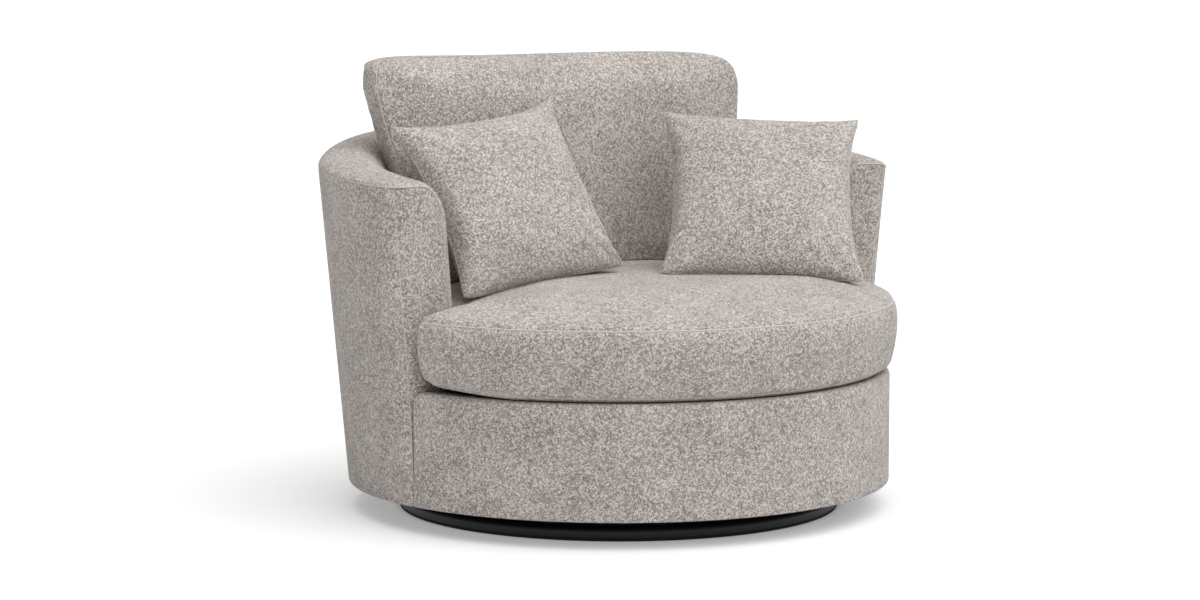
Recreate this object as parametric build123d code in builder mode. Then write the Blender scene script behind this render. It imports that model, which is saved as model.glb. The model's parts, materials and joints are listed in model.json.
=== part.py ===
from build123d import *
from math import asin, cos, degrees, radians, sin, sqrt
import os

# Round swivel armchair. All sizes are in millimetres. The origin is on the floor at the swivel axis,
# +Z points up, the chair's front faces -Y and +X is at the right of someone who looks at the front.
# Angles of the chair are degrees from its front, positive towards +X.

# Fabric, padding and fits
cover_thickness = 2.0
soft_gap = 0.3
board_thickness = 3.0
wadding_depth = 8.0
cloth_thickness = 1.2

# Covered drum and barrel
skirt_height = 51.5
drum_radius = 521.7
drum_flare = 0.0889
wall_thickness = 135.0
arm_angle = 83.0
arm_front_angle = 77.2
arm_outer_round = 45.0
arm_inner_round = 32.0
crown_height = 657.0
crown_slope = 0.11
crown_radius = 28.0
crown_foam = 45.0
inside_foam_depth = 40.0
panel_angle = 78.5
panel_joint = 0.05
trim_spare = 1.0  # trim past the outer face of the inside cover below its seam

# Timber frame
base_board_thickness = 18.0
dust_cloth_thickness = 1.0
frame_angle = 82.5
rail_thickness = 18.0
post_depth = 70.0
post_width = 35.0
post_angles = (86.0, 110.0, 133.0, 156.0, 180.0)
front_rail_thickness = 15.0
front_roll_radius = 12.0
deck_height = 250.0

# Seat frame and springs
seat_ring_thickness = 18.0
seat_opening_width = 600.0
seat_opening_depth = 560.0
seat_opening_shift = -20.0
seat_opening_corner = 40.0
seat_post_width = 40.0
front_post_angles = (-64.0, -32.0, 0.0, 32.0, 64.0)
rear_post_angles = (110.0, 145.0, 180.0, 215.0, 250.0)
spring_count = 6
spring_spacing = 100.0
spring_wire = 3.8
spring_bend = 21.0
spring_bar = 30.0
spring_bars = 15
clip_length = 20.0
clip_width = 12.0
clip_wall = 1.0
wire_clear = 0.1
tie_wire = 2.5
tie_spread = 200.0
pad_thickness = 12.0

# Base ring, spokes and hub
ring_radius = 416.5
ring_tube = 25.0
ring_wall = 2.0
strip_width = 14.0
strip_height = 3.0
strip_glue = 0.05
spoke_width = 40.0
spoke_height = 20.0
spoke_wall = 2.0
spoke_start = 60.0
hub_radius = 175.0
hub_thickness = 5.0

# Ball bearing and kingpin
track_radius = 150.0
ball_diameter = 8.0
ball_count = 24
race_clear = 0.05
race_gap = 3.0
race_width = 40.0
flange_width = 20.0
cage_thickness = 1.6
cage_width = 16.0
cage_clear = 0.1
pin_radius = 12.0
pin_thread_radius = 10.0
pin_flange_radius = 45.0
pin_flange_thickness = 5.0
bush_wall = 4.0
bush_flange = 6.0
bush_flange_thickness = 2.0
pin_clear = 0.05
end_play = 0.3
washer_radius = 24.0
washer_thickness = 2.2
nut_width = 34.0
nut_height = 11.0
bolt_radius = 4.0
bolt_head_radius = 6.5
bolt_head_height = 5.0
bolt_clear = 0.2
bolt_count = 4
tee_wall = 1.5
tee_flange = 6.0
tee_flange_thickness = 1.5
race_screw_radius = 3.0
race_screw_head = 5.5
race_screw_count = 4

# Seat cushion
seat_overhang = 13.3
seat_rear_clear = 3.0
seat_wing_angle = 76.5
seat_corner_radius = 30.0
seat_notch_radius = 30.0
seat_low_seam_rise = 22.1
seat_top_seam_rise = 134.1
seat_thickness = 176.1
seat_seam_draw = 5.0
seat_under_draw = 22.0
crown_reach = 190.0

# Back cushion
back_low_inset = 176.7
back_top_inset = 109.7
back_low_front = 136.0
back_top_front = 212.0
back_height = 418.0
back_bulge = 10.0
back_gusset = 60.0
back_wall_clear = 11.0
back_edge_round = 36.0
back_end_draw = 18.0
cushion_gap = 0.4

# Pillows
pillow_size = 364.0
pillow_thickness = 144.0
pillow_draw = 20.0
left_pillow_inset = 303.9
left_pillow_depth = 46.8
left_pillow_rise = 154.4
left_pillow_turn = 0.0
left_pillow_lean = 32.2
left_pillow_roll = 6.1
right_pillow_inset = 255.8
right_pillow_depth = -107.7
right_pillow_rise = 140.1
right_pillow_turn = -27.8
right_pillow_lean = 39.9
right_pillow_roll = -3.4

# Heights, widths and places that follow from the sizes above
ring_height = strip_height + ring_tube / 2
spoke_top = ring_height + spoke_height / 2
hub_top = spoke_top + hub_thickness
board_low = skirt_height + cover_thickness
board_top = board_low + base_board_thickness
ball_height = (hub_top + board_low) / 2
lower_race_top = ball_height - race_gap / 2
upper_race_low = ball_height + race_gap / 2
seat_ring_top = deck_height - clip_wall * 2 - spring_wire - wire_clear * 2
seat_ring_low = seat_ring_top - seat_ring_thickness
spring_height = seat_ring_top + clip_wall + wire_clear + spring_wire / 2
pad_low = deck_height + soft_gap
pad_top = pad_low + pad_thickness
front_wall_outer = drum_radius - cover_thickness - soft_gap
front_rail_outer = front_wall_outer - wadding_depth + cover_thickness
roll_top = pad_top + cloth_thickness
seat_low = roll_top + cover_thickness + cushion_gap
seat_low_seam = seat_low + seat_low_seam_rise
seat_top_seam = seat_low + seat_top_seam_rise
seat_top = seat_low + seat_thickness
seat_front_radius = drum_radius + seat_overhang
back_top = seat_top + back_height
back_low_width = drum_radius - back_low_inset
back_top_width = drum_radius - back_top_inset
left_pillow_place = (left_pillow_inset - drum_radius, left_pillow_depth, seat_top + left_pillow_rise)
right_pillow_place = (drum_radius - right_pillow_inset, right_pillow_depth, seat_top + right_pillow_rise)
above_crown = crown_height + crown_slope * drum_radius + 100.0
barrel_sweep = 360.0 - 2 * arm_angle
return_angle = degrees(cover_thickness / drum_radius)
frame_sweep = 360.0 - 2 * frame_angle


def outer_radius(height):
    """Outer radius of the flared drum and barrel at a height."""
    return drum_radius + drum_flare * (height - skirt_height)


def inner_radius(height):
    """Radius of the inside cover's face at a height."""
    return outer_radius(height) - wall_thickness


def at(radius, angle):
    """Point in plan at a radius and an angle from the front."""
    return (radius * sin(radians(angle)), -radius * cos(radians(angle)))


def half_plane(angle):
    """Plane through the swivel axis at an angle from the front, with radius as X and height as Y."""
    x, y = at(1.0, angle)
    return Plane(origin=(0, 0, 0), x_dir=(x, y, 0), z_dir=(y, -x, 0))


def crown_plane(drop):
    """Sloping plane along the top of the arms and back, lowered by a drop."""
    return Plane(origin=(0, 0, crown_height - drop), z_dir=(0, -crown_slope, 1))


def cone_band(angle, near, far, low, high):
    """Section of a flared layer that lies between two depths under the outer face."""
    with BuildSketch(half_plane(angle)) as band:
        with BuildLine():
            Polyline(
                (outer_radius(low) - far, low),
                (outer_radius(low) - near, low),
                (outer_radius(high) - near, high),
                (outer_radius(high) - far, high),
                close=True,
            )
        make_face()
    return band.sketch


def barrel_plan(height, inset):
    """Plan of the barrel wall at a height, a band with blunt round-cornered arm fronts, drawn in by an inset."""
    outer = outer_radius(height) - inset
    inner = inner_radius(height) + inset
    middle = (outer + inner) / 2
    front = arm_front_angle + degrees(inset / middle)
    turn = (front + 180.0) / 2
    with BuildSketch(Plane.XY.offset(height)) as plan:
        with BuildLine():
            ThreePointArc(at(outer, front), at(outer, turn), at(outer, 180))
            ThreePointArc(at(outer, 180), at(outer, -turn), at(outer, -front))
            Line(at(outer, -front), at(inner, -front))
            ThreePointArc(at(inner, -front), at(inner, -turn), at(inner, 180))
            ThreePointArc(at(inner, 180), at(inner, turn), at(inner, front))
            Line(at(inner, front), at(outer, front))
        make_face()
        inner_corners = plan.vertices().sort_by(Axis.Y)[:4].sort_by(Axis.X)[1:3]
        fillet(inner_corners, arm_inner_round - inset)
        outer_corners = plan.vertices().sort_by(Axis.Y)[:2]
        fillet(outer_corners, arm_outer_round - inset)
    return plan.sketch


def barrel_form(inset):
    """Padded barrel from the deck up, with a rounded sloping top, drawn in by an inset."""
    with BuildPart() as form:
        loft([barrel_plan(deck_height, inset), barrel_plan(above_crown, inset)], ruled=True)
        split(bisect_by=crown_plane(inset), keep=Keep.BOTTOM)
        rim = form.faces().sort_by(Axis.Z)[-1]
        fillet(rim.edges(), crown_radius - inset)
    return form.part


def deck_plan(height, front_radius, rear_radius):
    """Plan of the seat deck: wide in front of the arms, round between them."""
    wing = seat_wing_angle
    with BuildSketch(Plane.XY.offset(height)) as plan:
        with BuildLine():
            ThreePointArc(at(front_radius, -wing), at(front_radius, 0), at(front_radius, wing))
            Line(at(front_radius, wing), at(rear_radius, wing))
            ThreePointArc(at(rear_radius, wing), at(rear_radius, 130), at(rear_radius, 180))
            ThreePointArc(at(rear_radius, 180), at(rear_radius, 230), at(rear_radius, -wing))
            Line(at(rear_radius, -wing), at(front_radius, -wing))
        make_face()
    return plan.sketch


def seat_section(height, inset):
    """Plan of the seat cushion at a height, drawn in by an inset, with round wings and notches."""
    front = seat_front_radius - inset
    rear = inner_radius(seat_low) - seat_rear_clear - inset
    wing = seat_wing_angle - degrees(inset / (front + rear) * 2)
    corner = seat_corner_radius
    notch = seat_notch_radius
    corner_turn = degrees(asin(corner / (front - corner)))
    notch_turn = degrees(asin(notch / (rear + notch)))
    line_out = sqrt((front - corner) ** 2 - corner**2)
    line_in = sqrt((rear + notch) ** 2 - notch**2)

    def corner_point(side, turn):
        """Point on a wing's round corner, from the front at 0 to the wing's rear edge at 1."""
        centre_x, centre_y = at(front - corner, side * (wing - corner_turn))
        heading = wing - corner_turn + turn * (90.0 + corner_turn)
        out_x, out_y = at(corner, side * heading)
        return (centre_x + out_x, centre_y + out_y)

    def notch_point(side, turn):
        """Point on the round notch beside an arm front, from the wing at 0 to the rear round at 1."""
        centre_x, centre_y = at(rear + notch, side * (wing + notch_turn))
        heading = wing - 90.0 - turn * (90.0 - notch_turn)
        out_x, out_y = at(notch, side * heading)
        return (centre_x + out_x, centre_y + out_y)

    with BuildSketch(Plane.XY.offset(height)) as plan:
        with BuildLine():
            ThreePointArc(corner_point(-1, 0), at(front, -wing / 2), at(front, 0))
            ThreePointArc(at(front, 0), at(front, wing / 2), corner_point(1, 0))
            ThreePointArc(corner_point(1, 0), corner_point(1, 0.5), at(line_out, wing))
            Line(at(line_out, wing), at(line_in, wing))
            ThreePointArc(at(line_in, wing), notch_point(1, 0.5), at(rear, wing + notch_turn))
            ThreePointArc(at(rear, wing + notch_turn), at(rear, 130), at(rear, 180))
            ThreePointArc(at(rear, 180), at(rear, 230), at(rear, -wing - notch_turn))
            ThreePointArc(at(rear, -wing - notch_turn), notch_point(-1, 0.5), at(line_in, -wing))
            Line(at(line_in, -wing), at(line_out, -wing))
            ThreePointArc(at(line_out, -wing), corner_point(-1, 0.5), corner_point(-1, 0))
        make_face()
    return plan.sketch


def seat_form(inset):
    """Seat cushion with boxed sides that swell between two seams and a crowned top."""
    rise = seat_top - seat_top_seam
    middle = (seat_low_seam + seat_top_seam) / 2
    with BuildPart() as form:
        loft(
            [
                seat_section(seat_low + inset, seat_under_draw + inset),
                seat_section(seat_low_seam, seat_seam_draw + inset),
                seat_section(middle, inset),
                seat_section(seat_top_seam, seat_seam_draw + inset),
                seat_section(seat_top_seam + rise * 0.55 - inset, crown_reach * 0.22 + inset),
                seat_section(seat_top_seam + rise * 0.86 - inset, crown_reach * 0.55 + inset),
                seat_section(seat_top - inset, crown_reach + inset),
            ],
            ruled=True,
        )
    return form.part


def back_section(share, inset):
    """Plan of the back cushion at a share of its height, drawn in by an inset and at its ends."""
    low = seat_top + cushion_gap + inset
    height = low + (back_top - inset - low) * share
    end_depth = min(height - low, back_top - inset - height)
    into_round = max(0.0, 1.0 - end_depth / back_edge_round)
    draw = inset + back_end_draw * (1.0 - sqrt(1.0 - into_round**2))
    rim_height = crown_height + crown_slope * inner_radius(crown_height)
    wall = inner_radius(min(height, rim_height)) - back_wall_clear
    half_width = back_low_width + (back_top_width - back_low_width) * share
    front = back_low_front + (back_top_front - back_low_front) * share
    gusset_rear = front + back_gusset
    above_arm = height > crown_height + crown_slope * gusset_rear
    rear_side = gusset_rear if above_arm else sqrt(wall**2 - half_width**2)
    half_width -= draw
    front += draw
    rear_side -= draw
    with BuildSketch(Plane.XY.offset(height)) as plan:
        with BuildLine():
            ThreePointArc((-half_width, front), (0, front - back_bulge), (half_width, front))
            Line((half_width, front), (half_width, rear_side))
            ThreePointArc((half_width, rear_side), (0, wall - draw), (-half_width, rear_side))
            Line((-half_width, rear_side), (-half_width, front))
        make_face()
    return plan.sketch


def back_form(inset):
    """Back cushion that leans back, fills the round of the barrel and has softly rounded ends."""
    shares = (0.0, 0.03, 0.09, 0.3, 0.48, 0.57, 0.72, 0.91, 0.97, 1.0)
    with BuildPart() as form:
        loft([back_section(share, inset) for share in shares], ruled=True)
    return form.part


def pillow_plane(place, turn, lean, roll):
    """Plane of a pillow's seam: turned about Z, leant back, then rolled in its own plane."""
    level = cos(radians(lean))
    facing = (sin(radians(turn)) * level, -cos(radians(turn)) * level, sin(radians(lean)))
    along = (cos(radians(turn)), sin(radians(turn)), 0)
    return Plane(origin=place, x_dir=along, z_dir=facing).rotated((0, 0, roll))


def pillow_section(plane, depth, half, draw):
    """Section of a pillow, a square whose sides are drawn in between its corners."""
    corners = [(-half, -half), (half, -half), (half, half), (-half, half)]
    middles = [(0, draw - half), (half - draw, 0), (0, half - draw), (draw - half, 0)]
    with BuildSketch(plane.offset(depth)) as section:
        with BuildLine():
            for number in range(4):
                ThreePointArc(corners[number], middles[number], corners[(number + 1) % 4])
        make_face()
    return section.sketch


def pillow_form(plane, inset):
    """Knife-edged pillow: full in the middle, drawn in along its four seams."""
    half = pillow_size / 2 - inset * 3
    deep = pillow_thickness / 2 - inset
    steps = ((1.0, 0.3), (0.84, 0.58), (0.5, 0.83), (0.0, 1.0), (-0.5, 0.83), (-0.84, 0.58), (-1.0, 0.3))
    sections = [
        pillow_section(plane, deep * depth, half * width, pillow_draw * width**2)
        for depth, width in steps
    ]
    with BuildPart() as form:
        loft(sections, ruled=True)
    return form.part


# Base ring: a round tube bent into a ring
with BuildPart() as base_ring:
    with BuildSketch(Plane.XZ):
        with Locations((ring_radius, ring_height)):
            Circle(ring_tube / 2)
            Circle(ring_tube / 2 - ring_wall, mode=Mode.SUBTRACT)
    revolve(axis=Axis.Z)

# Rubber strip under the ring, hollowed to the tube
with BuildPart() as floor_strip:
    with BuildSketch(Plane.XZ):
        with Locations((ring_radius, ring_height / 2)):
            Rectangle(strip_width, ring_height)
        with Locations((ring_radius, ring_height)):
            Circle(ring_tube / 2 + strip_glue, mode=Mode.SUBTRACT)
            Rectangle(strip_width, ring_tube * 0.7, mode=Mode.SUBTRACT)
    revolve(axis=Axis.Z)

# Four box-section spokes, coped to the ring
spoke_length = ring_radius - spoke_start
with BuildPart() as base_spokes:
    with PolarLocations(0, 4, start_angle=45):
        with Locations(((spoke_start + ring_radius) / 2, 0, ring_height)):
            Box(spoke_length, spoke_width, spoke_height)
            Box(spoke_length, spoke_width - 2 * spoke_wall, spoke_height - 2 * spoke_wall, mode=Mode.SUBTRACT)
    with Locations((0, 0, ring_height)):
        Torus(ring_radius, ring_tube / 2, mode=Mode.SUBTRACT)

# Hub plate over the spokes
with BuildPart() as hub_plate:
    with BuildSketch(Plane.XY.offset(spoke_top)):
        Circle(hub_radius)
        Circle(pin_radius + pin_clear + bush_wall, mode=Mode.SUBTRACT)
        with PolarLocations(track_radius - race_width / 2 + flange_width * 0.4, race_screw_count):
            Circle(race_screw_radius, mode=Mode.SUBTRACT)
    extrude(amount=hub_thickness)

# Lower race of the ball bearing
with BuildPart() as lower_race:
    with BuildSketch(Plane.XZ):
        with Locations((track_radius, (hub_top + lower_race_top) / 2)):
            Rectangle(race_width, lower_race_top - hub_top)
        with Locations((track_radius, ball_height)):
            Circle(ball_diameter / 2 + race_clear, mode=Mode.SUBTRACT)
    revolve(axis=Axis.Z)
    with PolarLocations(track_radius - race_width / 2 + flange_width * 0.4, race_screw_count):
        with Locations((0, 0, lower_race_top)):
            CounterSinkHole(
                race_screw_radius + bolt_clear,
                race_screw_head + bolt_clear,
                depth=lower_race_top - hub_top,
            )

# Countersunk screws of the lower race
with BuildPart() as race_screws:
    with BuildSketch(Plane.XZ):
        with BuildLine():
            head_slope = race_screw_head - race_screw_radius
            head_top = lower_race_top - bolt_clear
            Polyline(
                (0, spoke_top),
                (race_screw_radius, spoke_top),
                (race_screw_radius, head_top - head_slope),
                (race_screw_head, head_top),
                (0, head_top),
                close=True,
            )
        make_face()
    revolve(axis=Axis.Z)
one_race_screw = race_screws.part
with BuildPart() as race_screws:
    with PolarLocations(track_radius - race_width / 2 + flange_width * 0.4, race_screw_count):
        add(one_race_screw)

# Ball cage and balls
with BuildPart() as ball_cage:
    with BuildSketch(Plane.XY.offset(ball_height - cage_thickness / 2)):
        Circle(track_radius + cage_width / 2)
        Circle(track_radius - cage_width / 2, mode=Mode.SUBTRACT)
        with PolarLocations(track_radius, ball_count):
            Circle(ball_diameter / 2 + cage_clear, mode=Mode.SUBTRACT)
    extrude(amount=cage_thickness)

with BuildPart() as bearing_balls:
    with PolarLocations(track_radius, ball_count):
        with Locations((0, 0, ball_height)):
            Sphere(ball_diameter / 2)

# Upper race, with a flange that bolts to the base board
bolt_circle = track_radius + race_width / 2 + flange_width / 2
with BuildPart() as upper_race:
    with BuildSketch(Plane.XZ):
        with BuildLine():
            Polyline(
                (track_radius - race_width / 2, upper_race_low),
                (bolt_circle + flange_width / 2, upper_race_low),
                (bolt_circle + flange_width / 2, board_low),
                (track_radius - race_width / 2, board_low),
                close=True,
            )
        make_face()
        with Locations((track_radius, ball_height)):
            Circle(ball_diameter / 2 + race_clear, mode=Mode.SUBTRACT)
    revolve(axis=Axis.Z)
    with PolarLocations(bolt_circle, bolt_count, start_angle=22.5):
        with Locations((0, 0, board_low)):
            Hole(bolt_radius + bolt_clear)

# Bolts up through the upper race into tee nuts
on_base = (Align.CENTER, Align.CENTER, Align.MIN)
bolt_length = board_top - upper_race_low + bolt_head_height
with BuildPart() as mount_bolts:
    with PolarLocations(bolt_circle, bolt_count, start_angle=22.5):
        with Locations((0, 0, upper_race_low - bolt_head_height)):
            Cylinder(bolt_head_radius, bolt_head_height, align=on_base)
            Cylinder(bolt_radius, bolt_length, align=on_base)

tee_radius = bolt_radius + tee_wall
with BuildPart() as tee_nuts:
    with PolarLocations(bolt_circle, bolt_count, start_angle=22.5):
        with Locations((0, 0, board_low)):
            Cylinder(tee_radius, base_board_thickness, align=on_base)
        with Locations((0, 0, board_top)):
            Cylinder(tee_radius + tee_flange, tee_flange_thickness, align=on_base)
            Hole(bolt_radius)

# Kingpin with its flange under the base board
washer_top = hub_top - hub_thickness - bush_flange_thickness - end_play
nut_top = washer_top - washer_thickness
with BuildPart() as kingpin:
    with BuildSketch(Plane.XZ):
        with BuildLine():
            Polyline(
                (0, nut_top - nut_height),
                (pin_thread_radius, nut_top - nut_height),
                (pin_thread_radius, washer_top),
                (pin_radius, washer_top),
                (pin_radius, board_low - pin_flange_thickness),
                (pin_flange_radius, board_low - pin_flange_thickness),
                (pin_flange_radius, board_low),
                (0, board_low),
                close=True,
            )
        make_face()
    revolve(axis=Axis.Z)

with BuildPart() as kingpin_bush:
    with BuildSketch(Plane.XZ):
        bush_bore = pin_radius + pin_clear
        with BuildLine():
            Polyline(
                (bush_bore, washer_top + end_play),
                (bush_bore + bush_wall, washer_top + end_play),
                (bush_bore + bush_wall, hub_top),
                (bush_bore + bush_wall + bush_flange, hub_top),
                (bush_bore + bush_wall + bush_flange, hub_top + bush_flange_thickness),
                (bush_bore, hub_top + bush_flange_thickness),
                close=True,
            )
        make_face()
    revolve(axis=Axis.Z)

with BuildPart() as kingpin_washer:
    with BuildSketch(Plane.XY.offset(nut_top)):
        Circle(washer_radius)
        Circle(pin_thread_radius, mode=Mode.SUBTRACT)
    extrude(amount=washer_thickness)

with BuildPart() as kingpin_nut:
    with BuildSketch(Plane.XY.offset(nut_top - nut_height)):
        RegularPolygon(nut_width / 2, 6, major_radius=False)
        Circle(pin_thread_radius, mode=Mode.SUBTRACT)
    extrude(amount=nut_height)

# Base board and the dust cover under it
board_radius = outer_radius(board_low) - cover_thickness - wadding_depth - board_thickness - 3 * soft_gap
with BuildPart() as base_board:
    with BuildSketch(Plane.XY.offset(board_low)):
        Circle(board_radius)
        with PolarLocations(bolt_circle, bolt_count, start_angle=22.5):
            Circle(tee_radius, mode=Mode.SUBTRACT)
    extrude(amount=base_board_thickness)

with BuildPart() as dust_cover:
    with BuildSketch(Plane.XY.offset(board_low - dust_cloth_thickness)):
        Circle(board_radius - cover_thickness)
        Circle(bolt_circle + flange_width, mode=Mode.SUBTRACT)
    extrude(amount=dust_cloth_thickness)

# Bent front rail on the base board
with BuildPart() as front_rail:
    with BuildSketch(half_plane(-frame_angle)):
        with Locations((front_rail_outer - front_rail_thickness / 2, (board_top + deck_height) / 2)):
            Rectangle(front_rail_thickness, deck_height - board_top)
    revolve(axis=Axis.Z, revolution_arc=2 * frame_angle)

# Seat ring with its spring opening
ring_rear = inner_radius(seat_ring_low) + cover_thickness + inside_foam_depth + 2 * soft_gap
ring_front = front_rail_outer - front_rail_thickness
with BuildPart() as seat_ring:
    add(deck_plan(seat_ring_low, ring_front, ring_rear))
    extrude(amount=seat_ring_thickness)
    with BuildSketch(Plane.XY.offset(seat_ring_low)):
        with Locations((0, seat_opening_shift)):
            RectangleRounded(seat_opening_width, seat_opening_depth, seat_opening_corner)
    extrude(amount=seat_ring_thickness, mode=Mode.SUBTRACT)

# Posts that carry the seat ring
front_post_radius = ring_front - seat_post_width
rear_post_radius = ring_rear - seat_post_width
with BuildPart() as seat_posts:
    for radius, angles in ((front_post_radius, front_post_angles), (rear_post_radius, rear_post_angles)):
        for angle in angles:
            with BuildSketch(Plane.XY.offset(board_top)):
                with Locations(Location((*at(radius, angle), 0), angle)):
                    Rectangle(seat_post_width, seat_post_width)
    extrude(amount=seat_ring_low - board_top)

# Zigzag seat springs with their clips and tie wires
spring_start = seat_opening_shift - spring_bend * (spring_bars - 1)
spring_end = spring_start + 2 * spring_bend * (spring_bars - 1)
with BuildPart() as one_spring:
    with BuildLine() as spring_path:
        for bar in range(spring_bars):
            side = 1 if bar % 2 == 0 else -1
            y = spring_start + 2 * spring_bend * bar
            tip = side * spring_bar / 2
            Line((-tip, y, spring_height), (tip, y, spring_height))
            if bar < spring_bars - 1:
                bend_tip = (tip + side * spring_bend, y + spring_bend, spring_height)
                ThreePointArc((tip, y, spring_height), bend_tip, (tip, y + 2 * spring_bend, spring_height))
    with BuildSketch(Plane(origin=spring_path.line @ 0, z_dir=spring_path.line % 0)):
        Circle(spring_wire / 2)
    sweep(path=spring_path.line)
spring_places = [(number - (spring_count - 1) / 2) * spring_spacing for number in range(spring_count)]
with BuildPart() as seat_springs:
    for place in spring_places:
        with Locations((place, 0, 0)):
            add(one_spring.part)

clip_height = spring_wire + 2 * wire_clear + 2 * clip_wall
with BuildPart() as spring_clips:
    for place in spring_places:
        for y in (spring_start, spring_end):
            with Locations((place, y, spring_height)):
                Box(clip_length, clip_width, clip_height)
                Cylinder(spring_wire / 2 + wire_clear, clip_length, rotation=(0, 90, 0), mode=Mode.SUBTRACT)

tie_height = spring_height - spring_wire / 2 - wire_clear - tie_wire / 2
tie_length = (spring_count - 1) * spring_spacing + spring_bar
with BuildPart() as spring_ties:
    for y in (seat_opening_shift - tie_spread / 2, seat_opening_shift + tie_spread / 2):
        with Locations((0, y, tie_height)):
            Cylinder(tie_wire / 2, tie_length, rotation=(0, 90, 0))

# Felt pad and deck cloth over the springs
with BuildPart() as seat_pad:
    add(deck_plan(pad_low, ring_front, inner_radius(pad_low) - soft_gap))
    extrude(amount=pad_thickness)

with BuildPart() as deck_cloth:
    add(deck_plan(pad_top, ring_front, inner_radius(pad_low) - soft_gap))
    extrude(amount=cloth_thickness)

# Barrel frame: top rail, leaning posts and two boards
rail_drop = cover_thickness + soft_gap + crown_foam
frame_near = cover_thickness + soft_gap + wadding_depth + soft_gap + board_thickness + soft_gap
frame_far = wall_thickness - cover_thickness - inside_foam_depth - board_thickness - 3 * soft_gap
with BuildPart() as top_rail:
    revolve(
        cone_band(frame_angle, frame_near, frame_far, deck_height, above_crown),
        axis=Axis.Z,
        revolution_arc=frame_sweep,
    )
    split(bisect_by=crown_plane(rail_drop), keep=Keep.BOTTOM)
    split(bisect_by=crown_plane(rail_drop + rail_thickness), keep=Keep.TOP)

post_middle = (frame_near + frame_far) / 2
with BuildPart() as barrel_posts:
    for angle in [side * value for value in post_angles for side in (1, -1) if side == 1 or value < 180]:
        feet = []
        for height in (board_top, above_crown):
            with BuildSketch(Plane.XY.offset(height)) as foot:
                place = at(outer_radius(height) - post_middle, angle)
                with Locations(Location((*place, 0), angle)):
                    Rectangle(post_width, post_depth)
            feet.append(foot.sketch)
        loft(feet, ruled=True)
    split(bisect_by=crown_plane(rail_drop + rail_thickness), keep=Keep.BOTTOM)

outer_board_far = frame_near - soft_gap
with BuildPart() as outer_board:
    revolve(
        cone_band(frame_angle, outer_board_far - board_thickness, outer_board_far, board_low, above_crown),
        axis=Axis.Z,
        revolution_arc=frame_sweep,
    )
    split(bisect_by=crown_plane(rail_drop), keep=Keep.BOTTOM)

inner_board_near = frame_far + soft_gap
inner_board_far = inner_board_near + board_thickness
with BuildPart() as inner_board:
    revolve(
        cone_band(frame_angle, inner_board_near, inner_board_far, seat_ring_low, above_crown),
        axis=Axis.Z,
        revolution_arc=frame_sweep,
    )
    split(bisect_by=crown_plane(rail_drop), keep=Keep.BOTTOM)

# Padding of the barrel: wadding outside, foam on top, inside and round the arm fronts
wadding_near = cover_thickness + soft_gap
wadding_far = wadding_near + wadding_depth
with BuildPart() as outside_wadding:
    revolve(
        cone_band(arm_angle, wadding_near, wadding_far, board_low, above_crown),
        axis=Axis.Z,
        revolution_arc=barrel_sweep,
    )
    split(bisect_by=crown_plane(rail_drop + soft_gap), keep=Keep.BOTTOM)

barrel_core = barrel_form(cover_thickness + soft_gap)
with BuildPart() as top_foam:
    add(barrel_core)
    split(bisect_by=crown_plane(rail_drop - soft_gap), keep=Keep.TOP)

foam_far = frame_far + 2 * soft_gap + board_thickness
with BuildPart() as inside_foam:
    add(barrel_core)
    split(bisect_by=crown_plane(rail_drop + soft_gap), keep=Keep.BOTTOM)
    revolve(
        cone_band(frame_angle, wadding_far, foam_far, deck_height, above_crown),
        axis=Axis.Z,
        revolution_arc=frame_sweep,
        mode=Mode.SUBTRACT,
    )
    revolve(
        cone_band(arm_angle, -wall_thickness, wadding_far + soft_gap, deck_height, above_crown),
        axis=Axis.Z,
        revolution_arc=barrel_sweep,
        mode=Mode.SUBTRACT,
    )

# Fabric covers of the barrel
seam_drop = crown_radius + cover_thickness
with BuildPart() as outside_cover:
    revolve(
        cone_band(arm_angle, 0, cover_thickness, skirt_height, above_crown),
        axis=Axis.Z,
        revolution_arc=barrel_sweep,
    )
    split(bisect_by=crown_plane(seam_drop), keep=Keep.BOTTOM)
    for start in (panel_angle, 360 - arm_angle):
        revolve(
            cone_band(start, 0, cover_thickness, skirt_height, deck_height),
            axis=Axis.Z,
            revolution_arc=arm_angle - panel_angle,
        )
    for start in (panel_angle, 360 - panel_angle - return_angle):
        with BuildSketch(half_plane(start)):
            with BuildLine():
                Polyline(
                    (drum_radius - cover_thickness, skirt_height),
                    (drum_radius, skirt_height),
                    (outer_radius(deck_height), deck_height),
                    (drum_radius - cover_thickness, deck_height),
                    close=True,
                )
            make_face()
        revolve(axis=Axis.Z, revolution_arc=return_angle)

barrel_skin = barrel_form(0.0)
with BuildPart() as outside_cut:
    revolve(
        cone_band(arm_angle, -wall_thickness, cover_thickness + trim_spare, deck_height - 1, above_crown),
        axis=Axis.Z,
        revolution_arc=barrel_sweep,
    )
    split(bisect_by=crown_plane(seam_drop), keep=Keep.BOTTOM)
with BuildPart() as inside_cover:
    add(barrel_skin)
    add(barrel_form(cover_thickness), mode=Mode.SUBTRACT)
    add(outside_cut.part, mode=Mode.SUBTRACT)

# Front panel: wadding over the rail and a cover that rolls over its top
panel_start = -panel_angle + panel_joint
wadding_inner = front_rail_outer + soft_gap
barrel_room = barrel_form(-soft_gap)
with BuildPart() as front_wadding:
    with BuildSketch(half_plane(panel_start)):
        with BuildLine():
            Polyline(
                (ring_front + soft_gap, pad_low),
                (wadding_inner, pad_low),
                (wadding_inner, board_low),
                (front_wall_outer, board_low),
                (front_wall_outer, roll_top - soft_gap),
                (ring_front + soft_gap, roll_top - soft_gap),
                close=True,
            )
        shape = make_face()
        roll_corner = shape.vertices().sort_by(Axis.Y)[-2:].sort_by(Axis.X)[-1:]
        fillet(roll_corner, front_roll_radius - cover_thickness)
    revolve(axis=Axis.Z, revolution_arc=-2 * panel_start)
    add(barrel_room, mode=Mode.SUBTRACT)

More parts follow.
